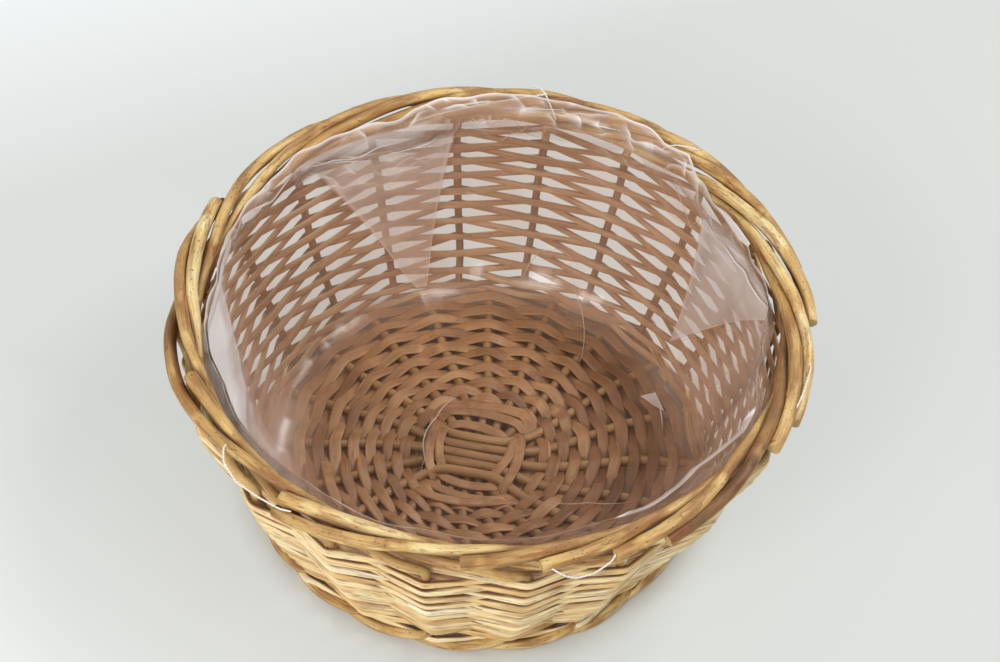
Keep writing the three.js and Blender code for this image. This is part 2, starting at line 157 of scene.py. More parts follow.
def rope_point(angle, turn, lift):
    """A point on the border: turn is 0 on the outer side, 90 on top and 180 on the inner side."""
    reach = border_half + lift
    turn = math.radians(turn)
    return (angle, border_radius + reach * math.cos(turn), border_z + reach * math.sin(turn))


def cylindrical(angle, radius, z):
    turn = np.radians(angle)
    return np.stack([radius * np.cos(turn), radius * np.sin(turn), np.broadcast_to(z, turn.shape)], axis=-1)


def radius_of(points):
    return np.hypot(points[..., 0], points[..., 1])


def away_from(angle, middle):
    """Degrees from the middle, by the short way round."""
    return (np.asarray(angle, float) - middle + 180) % 360 - 180


def smoothstep(x):
    x = np.clip(x, 0, 1)
    return x * x * (3 - 2 * x)


def wander(along, rng, length, amount):
    """A smooth random drift of about +-amount that changes over the given length."""
    total = np.zeros_like(along, dtype=float)
    for octave in (1.0, 1.9, 3.3):
        total += np.sin(2 * np.pi * along * octave / length + rng.uniform(0, 2 * np.pi)) / octave
    return amount * total / 1.8


def smoothed(points, passes):
    points = points.copy()
    for _ in range(passes):
        points[1:-1] = points[:-2] / 4 + points[1:-1] / 2 + points[2:] / 4
    return points


def distances(points):
    steps = np.linalg.norm(np.diff(points, axis=0), axis=1)
    return np.concatenate([[0.0], np.cumsum(steps)])


def resampled(points, step):
    """Evenly spaced rows along the first three columns. Further columns are carried along."""
    run = distances(points[:, :3])
    places = np.linspace(0, run[-1], max(3, int(round(run[-1] / step)) + 1))
    return np.stack([np.interp(places, run, points[:, i]) for i in range(points.shape[1])], axis=1)


def normalised(vectors):
    return vectors / np.maximum(np.linalg.norm(vectors, axis=-1, keepdims=True), 1e-9)


def upward(path):
    return np.tile([0.0, 0.0, 1.0], (len(path), 1))


def bezier(a, b, c, steps):
    t = np.linspace(0, 1, steps + 2)[1:-1, None]
    return (1 - t) ** 2 * a + 2 * t * (1 - t) * b + t ** 2 * c


def superellipse(sides, squareness):
    """Points (through the thickness, across the width) round a unit section."""
    turn = 2 * np.pi * (np.arange(sides) + 0.5) / sides
    power = 2 / squareness
    cos, sin = np.cos(turn), np.sin(turn)
    return np.stack([np.sign(cos) * np.abs(cos) ** power, np.sign(sin) * np.abs(sin) ** power], axis=1)


ROD_SECTION = superellipse(12, 2.0)
STRIP_SECTION = superellipse(12, 4.0)
FLAT_SECTION = superellipse(10, 4.0)
THREAD_SECTION = superellipse(8, 2.0)


def sweep(centres, outs, thick, wide, section, roll=None):
    """Rings of the section along centres. outs is where the section's thickness points."""
    along = normalised(np.gradient(centres, axis=0))
    out = normalised(outs - along * np.sum(outs * along, axis=1, keepdims=True))
    across = np.cross(along, out)
    if roll is not None:
        cos, sin = np.cos(roll)[:, None], np.sin(roll)[:, None]
        out, across = out * cos + across * sin, across * cos - out * sin
    a = (thick[:, None] * section[None, :, 0])[..., None]
    b = (wide[:, None] * section[None, :, 1])[..., None]
    return centres[:, None, :] + a * out[:, None, :] + b * across[:, None, :]


# How far the hand-woven body is set off to the left and front, at the foot and at the rim
LEAN_FOOT = (-2.8, -1.2)
LEAN_RIM = (-1.2, 0.0)

# Where the lower wall is pressed in: angle, spread, how deep at the foot and how deep above it
HOLLOWS = [(-40.0, 20.0, 5.0, 6.0), (-149.0, 13.0, 0.0, 3.5)]
# The height where a hollow deepens, the height where it starts to fade, and the radius from which it is
# felt, each with the distance that the change takes
HOLLOW_FOOT, HOLLOW_DEEPENING = 6, 10
HOLLOW_TOP, HOLLOW_FADE = 35, 60
HOLLOW_INNER_RADIUS, HOLLOW_ONSET = 80, 20


def leaned(points):
    """The body's middle line slants a little from the foot to the rim, and the lower wall has hollows."""
    z = points[:, 2]
    share = np.clip(z / HEIGHT, 0, 1)[:, None]
    angle = np.degrees(np.arctan2(points[:, 1], points[:, 0]))
    pressed = np.zeros(len(points))
    for middle, spread, at_foot, above in HOLLOWS:
        depth = between(at_foot, above, smoothstep((z - HOLLOW_FOOT) / HOLLOW_DEEPENING))
        pressed += depth * np.exp(-(away_from(angle, middle) / spread) ** 2)
    pressed *= 1 - smoothstep((z - HOLLOW_TOP) / HOLLOW_FADE)
    pressed *= smoothstep((radius_of(points) - HOLLOW_INNER_RADIUS) / HOLLOW_ONSET)
    outward = normalised(points * [1, 1, 0])
    shift = np.array([LEAN_FOOT]) * (1 - share) + np.array([LEAN_RIM]) * share
    return points + np.concatenate([shift, np.zeros_like(share)], axis=1) - outward * pressed[:, None]


# How long the bevel of a cut end is, and how much of the section is left there
BEVEL = 0.3
BEVEL_SHARE = 0.86


def place_object(name, data):
    obj = bpy.data.objects.new(name, data)
    bpy.context.scene.collection.objects.link(obj)
    return obj


class Shape:
    """Grows closed tubes and open patches into one mesh, with the attributes its material reads."""

    NAMES = ("outward", "tone", "mark", "cut")

    def __init__(self):
        self.points = []
        self.faces = []
        self.smooth = []
        self.grain = []
        self.values = {name: [] for name in self.NAMES}
        self.count = 0

    def add_points(self, points, **values):
        start = self.count
        self.points.append(points)
        self.count += len(points)
        for name in self.NAMES:
            self.values[name].append(np.broadcast_to(values.get(name, 0.0), len(points)).astype(float))
        return start

    def add_face(self, face, smooth, grain):
        self.faces.append(face)
        self.smooth.append(smooth)
        self.grain.extend(grain)

    def add_quads(self, start, stride, grain, order=1):
        """Faces between rows of stride points. The grain map has a place for each corner."""
        rows, columns, _ = grain.shape
        grain = grain.tolist()
        for i in range(rows - 1):
            for j in range(columns - 1):
                a = start + i * stride + j
                b = start + i * stride + (j + 1) % stride
                corners = [grain[i][j], grain[i][j + 1], grain[i + 1][j + 1], grain[i + 1][j]]
                self.add_face((a, b, b + stride, a + stride)[::order], True, corners[::order])

    def add_tube(self, rings, section, tone, mark=0.0, grain_start=0.0):
        """A closed tube through the rings, with a bevelled cut at each end."""
        n, k, _ = rings.shape
        middles = rings.mean(axis=1)
        bevels = normalised(np.gradient(middles, axis=0))[[0, -1]] * [[-BEVEL], [BEVEL]]
        ends = middles[[0, -1]] + bevels
        caps = (rings[[0, -1]] - middles[[0, -1], None]) * BEVEL_SHARE + ends[:, None]
        rings = np.concatenate([caps[:1], rings, caps[1:]])
        run = distances(np.concatenate([ends[:1], middles, ends[1:]])) + grain_start
        n += 2
        cut = np.zeros((n, k))
        cut[0] = cut[-1] = 1.0
        marks = np.zeros((n, k))
        marks[1:-1] = mark
        start = self.add_points(
            rings.reshape(-1, 3),
            outward=np.tile(section[:, 0], n),
            tone=np.repeat(np.concatenate([[tone[0]], tone, [tone[-1]]]), k),
            mark=marks.ravel(),
            cut=cut.ravel(),
        )
        caps = self.add_points(caps.mean(axis=1), tone=tone[[0, -1]], cut=1.0)
        edge = np.linalg.norm(np.roll(rings, -1, axis=1) - rings, axis=2).mean(axis=0)
        round_it = np.concatenate([[0.0], np.cumsum(edge)])
        grain = np.stack(np.broadcast_arrays(run[:, None], round_it[None, :]), axis=-1)
        order = -1 if self.inside_out(rings) else 1
        self.add_quads(start, k, grain, order)
        for cap, ring, u in ((caps, 0, run[0]), (caps + 1, n - 1, run[-1])):
            for j in range(k):
                a = start + ring * k + j
                b = start + ring * k + (j + 1) % k
                turned = (ring > 0) == (order < 0)
                self.add_face((cap, b, a) if turned else (cap, a, b), False, [(u, 0.0)] * 3)

    @staticmethod
    def inside_out(rings):
        middle = rings[len(rings) // 2]
        along = rings[len(rings) // 2 + 1].mean(axis=0) - middle.mean(axis=0)
        turned = np.cross(middle[0] - middle.mean(axis=0), middle[1] - middle.mean(axis=0))
        return bool(np.dot(turned, along) < 0)

    def add_grid(self, grid, grain, **values):
        """An open patch of rows and columns of points."""
        flat = {name: np.asarray(value, float).ravel() for name, value in values.items()}
        start = self.add_points(grid.reshape(-1, 3), **flat)
        self.add_quads(start, grid.shape[1], grain)

    def build(self, name, material):
        mesh = bpy.data.meshes.new(name)
        points = leaned(np.concatenate(self.points)) * MM
        mesh.from_pydata(points.tolist(), [], self.faces)
        mesh.polygons.foreach_set("use_smooth", self.smooth)
        layer = mesh.uv_layers.new(name="grain")
        layer.data.foreach_set("uv", np.asarray(self.grain, np.float32).ravel())
        for key in self.NAMES:
            attribute = mesh.attributes.new(key, "FLOAT", "POINT")
            attribute.data.foreach_set("value", np.concatenate(self.values[key]).astype(np.float32))
        mesh.materials.append(material)
        mesh.update()
        return place_object(name, mesh)


def dress(obj, node):
    """The piece takes a node's place, and moves with the basket."""
    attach(obj, "root")
    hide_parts(node)
    return obj


# Materials

def linear(red, green, blue):
    """Scene colour from the 0 to 255 numbers of a picture."""
    def one(value):
        value /= 255
        return value / 12.92 if value <= 0.04045 else ((value + 0.055) / 1.055) ** 2.4
    return (one(red), one(green), one(blue), 1.0)


def stops(places, *colours):
    return [(place, linear(*colour)) for place, colour in zip(places, colours)]


class Nodes:
    """Short ways to add and join the nodes of one material."""

    def __init__(self, name):
        self.material = bpy.data.materials.new(name)
        self.material.use_nodes = True
        self.tree = self.material.node_tree
        self.tree.nodes.clear()

    def add(self, kind, inputs=None, **settings):
        """A new node. Each input takes a number, a colour or another node's output."""
        node = self.tree.nodes.new("ShaderNode" + kind)
        for key, value in settings.items():
            setattr(node, key, value)
        for key, value in (inputs or {}).items():
            if isinstance(value, bpy.types.NodeSocket):
                self.tree.links.new(value, node.inputs[key])
            else:
                node.inputs[key].default_value = value
        return node

    def math(self, operation, a, b=0.0, clamp=False):
        return self.add("Math", {0: a, 1: b}, operation=operation, use_clamp=clamp).outputs[0]

    def times(self, a, b):
        return self.math("MULTIPLY", a, b)

    def plus(self, a, b, clamp=False):
        return self.math("ADD", a, b, clamp)

    def mix(self, factor, a, b, blend="MIX"):
        inputs = {"Factor": factor, "A": a, "B": b}
        return self.add("Mix", inputs, data_type="RGBA", blend_type=blend).outputs["Result"]

    def shaded(self, colour, shade):
        """The colour, darkened by a grey shade."""
        return self.mix(1.0, colour, self.vector(shade, shade, shade), "MULTIPLY")

    def ramp(self, factor, colours):
        node = self.add("ValToRGB", {0: factor})
        elements = node.color_ramp.elements
        while len(elements) < len(colours):
            elements.new(0.5)
        for element, (place, colour) in zip(elements, colours):
            element.position = place
            element.color = colour
        return node.outputs["Color"]

    def spread(self, value, low, high, to_low=0.0, to_high=1.0):
        inputs = {"Value": value, "From Min": low, "From Max": high, "To Min": to_low, "To Max": to_high}
        return self.add("MapRange", inputs, clamp=True).outputs["Result"]

    def attribute(self, name):
        return self.add("Attribute", attribute_name=name).outputs["Fac"]

    def grain(self):
        """Millimetres along the piece and round it, from the grain map."""
        parts = self.add("SeparateXYZ", {0: self.add("UVMap", uv_map="grain").outputs[0]})
        return parts.outputs["X"], parts.outputs["Y"]

    def vector(self, x, y, z):
        return self.add("CombineXYZ", {0: x, 1: y, 2: z}).outputs[0]

    def noise(self, place, scale=1.0, detail=2.0, roughness=0.5):
        inputs = {"Vector": place, "Scale": scale, "Detail": detail, "Roughness": roughness}
        return self.add("TexNoise", inputs).outputs["Fac"]

    def grain_noise(self, grain, scales, seed, detail, roughness=0.5):
        """Noise over the grain map, with its own scale along the piece and round it."""
        along, around = self.times(grain[0], scales[0]), self.times(grain[1], scales[1])
        return self.noise(self.vector(along, around, seed), 1.0, detail, roughness)

    def bump(self, height, strength, distance, **others):
        inputs = {"Strength": strength, "Distance": distance, "Height": height, **others}
        return self.add("Bump", inputs).outputs["Normal"]

    def principled(self, colour, roughness, others):
        inputs = {"Base Color": colour, "Roughness": roughness, **others}
        return self.add("BsdfPrincipled", inputs).outputs[0]

    def mix_shader(self, share, below, above):
        return self.add("MixShader", {0: share, 1: below, 2: above}).outputs[0]

    def finish(self, shader):
        self.add("OutputMaterial", {"Surface": shader})
        return self.material


# The brown of knots and bud scars, also used for painted shade in crevices and between strips
KNOT_AND_SHADE_BROWN = linear(98, 54, 26)
SPECK_BROWN = linear(70, 42, 24)
CUT_YELLOW = linear(192, 158, 98)
BARK_BROWN = linear(142, 90, 48)
WILLOW_GLOSS = 0.45
WILLOW_RELIEF = 0.0006

# How fast each pattern changes along a rod and round it, per millimetre
DRIFT_SCALES = (0.02, 0.06)
FIBRE_SCALES = (0.07, 2.2)
BARK_SCALES = (0.045, 0.35)
SPECK_SCALES = (0.5, 1.4)
DASH_SCALES = (0.13, 1.9)


def willow(name, tones, grain_depth, specks, bark, contrast, inner=None, speck_scales=SPECK_SCALES):
    """Peeled or split willow: drifting tones along the rod, fibres, bark patches, specks and knots, and
    painted shade in crevices and at strips' edges.
    """
    n = Nodes(name)
    grain = n.grain()
    tone = n.attribute("tone")
    piece = n.times(tone, 7.0)
    drift = n.grain_noise(grain, DRIFT_SCALES, piece, 3)
    place = n.plus(n.times(tone, 0.6), n.times(n.spread(drift, 0.3, 0.7), 0.5))
    place = n.math("SUBTRACT", place, 0.06, clamp=True)
    colour = n.ramp(place, tones)
    # The inner face takes its own browner ramp: painted shade inside the basket
    if inner is not None:
        side = n.spread(n.attribute("outward"), -0.55, 0.35)
        colour = n.mix(side, n.ramp(place, inner), colour)
    fibre = n.grain_noise(grain, FIBRE_SCALES, piece, 5, 0.65)
    colour = n.shaded(colour, n.spread(fibre, 0.3, 0.7, 1 - contrast, 1 + contrast / 2))
    patch = n.grain_noise(grain, BARK_SCALES, n.plus(piece, 5.0), 4)
    colour = n.mix(n.times(n.spread(patch, 0.5, 0.62), bark), colour, BARK_BROWN)
    dots = n.grain_noise(grain, speck_scales, n.plus(piece, 9.0), 1)
    speck = n.times(n.spread(dots, 0.66, 0.71), n.spread(patch, 0.4, 0.62, specks, 1.0))
    colour = n.mix(n.times(speck, 0.8), colour, SPECK_BROWN)
    # The mark attribute holds bud scars and knots, and painted shade: crevices in rod twists and the gaps at
    # strips' edges
    colour = n.mix(n.spread(n.attribute("mark"), 0.25, 0.95, 0.0, 0.85), colour, KNOT_AND_SHADE_BROWN)
    colour = n.mix(n.attribute("cut"), colour, CUT_YELLOW)
    relief = n.math("SUBTRACT", n.plus(fibre, n.times(drift, 0.6)), n.times(speck, 0.5))
    normal = n.bump(relief, grain_depth, WILLOW_RELIEF)
    roughness = n.spread(fibre, 0.2, 0.8, 0.6, 0.4)
    return n.finish(n.principled(colour, roughness, {"Specular IOR Level": WILLOW_GLOSS, "Normal": normal}))


# Share of the light that a film's two faces throw back, straight on and how much more at a slant
FILM_GLOSS = 0.019
FILM_SLANT_GLOSS = 0.45
FILM_SHINE = (0.95, 0.94, 0.96, 1.0)
VEIL_THIN = linear(206, 152, 108)
VEIL_THICK = linear(206, 192, 186)
# The white of the highlights painted on the film
PAINTED_HIGHLIGHT_WHITE = linear(248, 246, 246)


def facets(n, grain, bend, along, down, seed):
    """Long soft glints with one sharp edge each, as crumpled film shows: painted highlights."""
    across = n.plus(n.times(grain[0], along), n.times(grain[1], down))
    wave = n.math("FRACT", n.plus(across, bend))
    glint = n.times(n.math("POWER", wave, 5.0), n.spread(wave, 0.93, 1.0, 1.0, 0.0))
    where = n.grain_noise(grain, (0.05, 0.12), seed, 1)
    return n.times(glint, n.spread(where, 0.42, 0.58))


def film_material():
    """Clear film: a faint pinkish veil that gathers in folds, under a clear reflecting skin. Glints and white
    lines are painted into the veil as highlights.
    """
    n = Nodes("clear_film")
    haze = n.attribute("tone")
    highlight_mark = n.attribute("mark")
    place = n.add("TexCoord").outputs["Object"]
    grain = n.grain()
    bend = n.times(n.grain_noise(grain, (0.035, 0.05), 3.0, 2), 3.0)
    flat, slanting = facets(n, grain, bend, 0.02, 0.13, 7.0), facets(n, grain, bend, -0.07, 0.08, 12.0)
    # Painted highlights: glint streaks and the mark attribute's white lines whiten the veil and make it more
    # opaque
    streak = n.times(n.math("MAXIMUM", flat, slanting), n.attribute("outward"))
    bright = n.math("MAXIMUM", highlight_mark, streak)
    milk = n.plus(haze, n.times(bright, 0.6))
    cloud = n.noise(place, 26.0, 3)
    veil_share = n.plus(n.times(milk, n.spread(cloud, 0.35, 0.7, 0.7, 1.3)), 0.0, clamp=True)
    veil_colour = n.mix(n.spread(milk, 0.1, 0.9), VEIL_THIN, VEIL_THICK)
    veil = n.principled(n.mix(bright, veil_colour, PAINTED_HIGHLIGHT_WHITE), 0.32, {"Specular IOR Level": 0.5})
    body = n.mix_shader(veil_share, n.add("BsdfTransparent").outputs[0], veil)
    fine, soft = n.noise(place, 150.0), n.noise(place, 42.0)
    creased = n.bump(soft, 0.3, 0.0012, Normal=n.bump(fine, 0.2, 0.0006))
    gloss = n.add("BsdfGlossy", {"Color": FILM_SHINE, "Roughness": 0.24, "Normal": creased})
    facing = n.add("LayerWeight", {"Blend": 0.5, "Normal": creased})
    grazing = n.times(n.math("POWER", facing.outputs["Facing"], 5.0), FILM_SLANT_GLOSS)
    return n.finish(n.mix_shader(n.plus(grazing, FILM_GLOSS, clamp=True), body, gloss.outputs[0]))


def thread_material():
    """White sewing thread with the slanting lay of its plies."""
    n = Nodes("white_thread")
    grain = n.grain()
    lay = n.math("SINE", n.plus(n.times(grain[0], 3.2), n.times(grain[1], 3.3)))
    fluff = n.grain_noise(grain, (1.5, 4.0), 1.0, 4)
    # The grooves between the plies are painted darker: painted shade
    colour = n.shaded(linear(244, 241, 236), n.spread(lay, -1.0, 0.2, 0.72, 1.0))
    normal = n.bump(n.plus(lay, fluff), 0.6, 0.0003)
    roughness = n.spread(fluff, 0.2, 0.8, 0.7, 0.95)
    return n.finish(n.principled(colour, roughness, {"Sheen Weight": 0.3, "Normal": normal}))


# Each willow's colours, from its darkest rods to its lightest
TONE_PLACES = (0.0, 0.33, 0.66, 1.0)
ROD_TONES = stops(TONE_PLACES, (104, 68, 38), (173, 128, 71), (219, 181, 114), (250, 231, 174))
STRIP_TONES = stops(TONE_PLACES, (196, 148, 92), (238, 198, 132), (253, 226, 172), (255, 244, 208))
# The strips' inner face, painted browner: painted shade inside the basket
STRIP_INNER_SHADE = stops((0.0, 0.5, 1.0), (142, 98, 66), (188, 142, 102), (218, 178, 138))
SKEIN_TONES = stops(TONE_PLACES, (104, 68, 40), (146, 101, 64), (178, 131, 88), (210, 166, 120))
STICK_TONES = stops(TONE_PLACES, (112, 78, 46), (142, 102, 62), (166, 124, 78), (186, 146, 98))

rod_willow = willow("willow_rod", ROD_TONES, grain_depth=0.5, specks=0.6, bark=0.7, contrast=0.4)
strip_willow = willow("willow_strip", STRIP_TONES, grain_depth=0.6, specks=0.45, bark=0.45, contrast=0.36,
                      inner=STRIP_INNER_SHADE, speck_scales=DASH_SCALES)
stick_willow = willow("willow_stick", STICK_TONES, grain_depth=0.35, specks=0.15, bark=0.25, contrast=0.24)
skein_willow = willow("willow_skein", SKEIN_TONES, grain_depth=0.5, specks=0.15, bark=0.25, contrast=0.3)
clear_film = film_material()
white_thread = thread_material()


# Rods

# How much a rod swells at a bud scar, and a scar's length in millimetres and width in radians
SCAR_SWELL = 0.11
SCAR_LENGTH = 1.5
SCAR_WIDTH = 0.42
# How far round its side a rod in a twist is painted darker as crevice shade, as a cosine, and how near the
# core it has to lie
CREVICE_START = 0.5
CORE_NEAR = 7


def bud_scars(run, sides, rng, spacing, length):
    """How far each point of a rod lies on a bud scar, from 0 to 1."""
    marks = np.zeros((len(run), sides))
    turn = 2 * np.pi * (np.arange(sides) + 0.5) / sides
    place = rng.uniform(0.2, 1.0) * spacing
    while place < run[-1]:
        side = rng.uniform(0, 2 * np.pi)
        size = rng.uniform(0.6, 1.0) * length
        away = np.angle(np.exp(1j * (turn - side)))
        spot = np.exp(-((run[:, None] - place) / size) ** 2 - (away[None, :] / SCAR_WIDTH) ** 2)
        marks = np.maximum(marks, spot * rng.uniform(0.5, 1.0))
        place += spacing * rng.uniform(0.6, 1.5)
    return marks


def rod(shape, path, sizes, outs, rng, tone, scars=24.0, core=None, crevice_shade=1.0):
    """A whole willow rod along a path, uneven as a grown one is. Its side to the core is painted darker:
    painted shade in the crevices of a twist.
    """
    run = distances(path)
    marks = bud_scars(run, len(ROD_SECTION), rng, scars, SCAR_LENGTH)
    uneven = 1 + wander(run, rng, 46.0, 0.035) + wander(run, rng, 11.0, 0.012)
    oval = wander(run, rng, 60.0, 0.04)
    rings = sweep(path, outs, sizes * uneven * (1 + oval), sizes * uneven * (1 - oval), ROD_SECTION)
    middles = path[:, None, :]
    rings = middles + (rings - middles) * (1 + SCAR_SWELL * marks[..., None])
    # Painted shade: the side that faces the twist's core is marked dark, as the crevices between rods are
    # shaded
    if core is not None:
        facing = np.sum(normalised(rings - middles) * normalised(core - path)[:, None, :], axis=2)
        near = 1 - smoothstep((np.linalg.norm(core - path, axis=1) - CORE_NEAR) / 1.5)
        marks = np.maximum(marks, smoothstep((facing + CREVICE_START) / 1.2) * (near * crevice_shade)[:, None])
    shape.add_tube(rings, ROD_SECTION, tone + wander(run, rng, 120.0, 0.14), marks)


# The foot's twist is a little slimmer than the frame's and set in, and no rod's middle is nearer to the
# ground than this share of its radius
FOOT_HELIX_SHARE = 0.85
FOOT_INSET = 1.3
GROUND_SHARE = 1.09
foot_ring = foot_radius - FOOT_INSET
FOOT_TONE = 0.6
# Stakes in the wall are painted darkest brown: painted shade inside the wall
WALL_STAKE_SHADE = -0.3
# The side with the lightest rods, and how far round it they go
LIGHT_SIDE = 212.0
LIGHT_SPREAD = 42.0
# The rods that run less or further round the border than in the frame
OWN_REACHES = {2: 75.5, 13: 90, 15: 101}
# How far a butt springs out of the border, and over how many degrees
BUTT_SPRING = 0.35
BUTT_DEGREES = 14
# Steps along a rod: degrees in a twist, and millimetres in the wall and in the finished path
TWIST_STEP = 0.75
WALL_STEP = 2.5
ROD_STEP = 1.7


def stake_tone(angle, rng):
    """Rods at the front left are the lightest, and those at the back a little lighter than the rest."""
    light = math.exp(-((angle - LIGHT_SIDE) / LIGHT_SPREAD) ** 2)
    back = max(math.sin(math.radians(angle)), 0)
    return 0.33 + 0.32 * back + 0.46 * light + rng.uniform(-0.26, 0.38)


def foot_rows(angle, rng):
    """A stake's thin end, twisted into the foot, as rows of angle, radius, z and size."""
    back = np.arange(FOOT_REACH, FOOT_STEP - 0.01, -TWIST_STEP)
    turn = np.radians(90 - 360 / (FOOT_PLACES * STAKE_ANGLE) * back)
    helix = FOOT_HELIX_SHARE * foot_helix
    radius = foot_ring + helix * np.cos(turn) + wander(back, rng, 30, 0.25)
    z = foot_z - (1 - FOOT_HELIX_SHARE) * foot_helix / 2 + helix * np.sin(turn)
    size = FOOT_ROD_DIAMETER / 2 * (0.95 + 0.3 * smoothstep((FOOT_REACH - back) / 12))
    return np.stack([angle - back, radius, z, size], axis=1)


def wall_rows(angle, rng):
    """A stake's middle, which stands in the wall, as rows of the same kind."""
    levels = np.arange(weave_bottom, weave_top + 0.01, WALL_STEP)
    drift = wander(levels, rng, 150, 0.5) * smoothstep((levels - weave_bottom) / 15)
    return np.stack([angle + drift, wall_radius(levels), levels, stake_size(levels)], axis=1)


def border_rows(angle, reach, rng):
    """A stake's thick end, rolled into the border up to its cut butt, as rows of the same kind."""
    back = np.arange(BORDER_START, reach, TWIST_STEP)
    turn = BORDER_START_TURN - 360 / (BORDER_PLACES * STAKE_ANGLE) * back
    turn = np.radians(turn + wander(back, rng, 60, 10.0) * smoothstep(back / 10))
    spring = BUTT_SPRING * smoothstep((back - reach + BUTT_DEGREES) / BUTT_DEGREES)
    helix = border_helix * (1.0 + wander(back, rng, 50, 0.1)) + spring
    radius = border_radius + helix * np.cos(turn)
    z = border_z + helix * np.sin(turn) + 0.4 * spring
    size = BORDER_ROD_DIAMETER / 2 * (0.78 + 0.28 * smoothstep(back / reach)) * rng.uniform(0.92, 1.06)
    return np.stack([angle - back, radius, z, size], axis=1)


def stake(number):
    rng = np.random.default_rng(STAKE_SEEDS + number)
    angle = STAKE_ANGLE * (number + 0.5)
    foot = foot_rows(angle, rng)
    wall = wall_rows(angle, rng)
    border = border_rows(angle, OWN_REACHES.get(number, BORDER_REACHES[number]), rng)
    foot_corner = np.array([angle, foot_radius, foot_z + foot_helix, FOOT_ROD_DIAMETER / 2])
    rim_corner = np.array([angle, wall_top_radius, (weave_top + border[0, 2]) / 2, STAKE_HIGH_DIAMETER / 2])
    rows = np.concatenate([
        foot, bezier(foot[-1], foot_corner, wall[0], 5), wall,
        bezier(wall[-1], rim_corner, border[0], 6), border,
    ])
    path = np.concatenate([cylindrical(rows[:, 0], rows[:, 1], rows[:, 2]), rows[:, 3:]], axis=1)
    path = smoothed(resampled(path, ROD_STEP), 3)
    path[:, 2] = np.maximum(path[:, 2], path[:, 3] * GROUND_SHARE)
    outs = normalised(path[:, :3] * [1, 1, 0])
    # Painted shade: the stake is darkest in the wall, and takes its own tone where it bends into the border
    # and in the foot
    bent = smoothstep((path[:, 2] - weave_top + 9) / 5)
    tone = between(WALL_STAKE_SHADE, stake_tone(angle - 30, rng), bent)
    tone = tone + (FOOT_TONE - WALL_STAKE_SHADE) * smoothstep((weave_bottom - path[:, 2]) / 4)
    high = path[:, 2] > (foot_z + border_z) / 2
    core = outs * np.where(high, border_radius, foot_ring)[:, None]
    core[:, 2] = np.where(high, border_z, foot_z)
    # The painted crevice shade reaches only a little below the border's twist, and runs all along the foot
    crevice_shade = np.where(high, smoothstep((path[:, 2] - border_z + 6.5) / 5), 1.0)
    shape = Shape()
    rod(shape, path[:, :3], path[:, 3], outs, rng, tone, core=core, crevice_shade=crevice_shade)
    return shape.build(f"rod_of_stake_{number + 1:02d}", rod_willow)


# Weaving

# How far a strip's middle line stays off a stake besides half its thickness
WEAVING_PLAY = 0.25


def woven_path(corners, stakes, step, passes, start, end):
    """The rounded path through the corners between two counts of stakes, and the count along it."""
    path = smoothed(resampled(np.concatenate([corners, stakes[:, None]], axis=1), step), passes)
    path = path[(path[:, 3] > start) & (path[:, 3] < end)]
    return path[:, :3], path[:, 3]


def strand(number, seeds, rows, strands, lead, join_every, add_length, tones):
    """One strand of its family's spiral, in lengths that run from one stake to a later one."""
    rng = np.random.default_rng(seeds + number)
    family, index = (number - 1) % 2, (number - 1) // 2
    start = family * (STAKES // 2 + 1)
    end = rows * STAKES // 2 + family * (STAKES // 2 - 1)
    cuts = [start + 2 * int(math.floor((end - start) * i / strands / 2 + 0.5)) for i in range(strands + 1)]
    cuts[0] -= lead
    places = list(range(cuts[index], cuts[index + 1] - join_every // 2, join_every)) + [cuts[index + 1]]
    shape = Shape()
    for first, last in zip(places, places[1:]):
        add_length(shape, family, first, last, rng, rng.uniform(*tones))
    return shape


# Split weavers in the wall

ROW_DRIFT = 0.75
JOIN_LENGTH = 0.6
JOIN_EVERY = 12
TOP_ROW_EXTRA = 0.5
STRIP_HEIGHT_SHARE = 0.95
STRIP_THICKNESS = 2.1
STRIP_STEP = 1.95
STRIP_LIGHTNESS = (0.2, 1.1)
# The lowest rows are beaten down close on the foot
DENSE_ROWS = 2.5
DENSE_TOP = 16.5
DENSE_PITCH = 2.7
# The weaving begins this many stakes earlier than the frame's, to fill the corner under the base's edge
CORNER_LEAD = 24
CORNER_SPREAD = 0.7
CORNER_LOWEST = 4.2
# How much further than it needs to a strip stands out where it bends round a stake
RIDGE_SHARE = 0.18
# Where a strip's edge is painted darker, round its section: painted shade in the gaps between strips
UPPER_EDGE_SHADE = np.clip((-STRIP_SECTION[:, 1] - 0.72) / 0.2, 0, 1)
# How far a strip tips back where it passes outside a stake
OUTSIDE_TIP = 26.0
# A strip's butt is tucked this far in, and its tip comes this far out
BUTT_TUCK = 1.25
TIP_OUT = 0.9


def row_field(angle, z):
    """How far the rows wave up and down together."""
    turn = np.radians(angle)
    return ROW_DRIFT * (np.sin(3 * turn + z / 17) + 0.7 * np.sin(5 * turn - z / 23 + 1.3))


def weaver_z(count, family):
    row = 2 * (count - family * STAKES / 2) / STAKES
    top_z = first_row_z + WALL_ROWS * row_pitch
    open_pitch = (top_z - DENSE_TOP) / (WALL_ROWS - DENSE_ROWS)
    dense = np.maximum(DENSE_TOP - (DENSE_ROWS - row) * DENSE_PITCH, CORNER_LOWEST)
    return np.where(row > DENSE_ROWS, top_z - (WALL_ROWS - row) * open_pitch, dense)


def weaver_corners(stakes, family):
    """Where a strip's middle line turns, inside one stake and outside the next."""
    level = weaver_z(stakes, family)
    reach = stake_size(level) + STRIP_THICKNESS / 2 + WEAVING_PLAY
    swing = np.where((stakes + family) % 2 == 0, -1, 1 + RIDGE_SHARE) * reach * np.hypot(1, wall_slope(level))
    below = np.maximum(weave_bottom - level, 0)
    swing = swing * (1 - 0.12 * below)
    radius = wall_radius(level) + swing + CORNER_SPREAD * below
    return cylindrical((stakes + 0.5) * STAKE_ANGLE, radius, level)


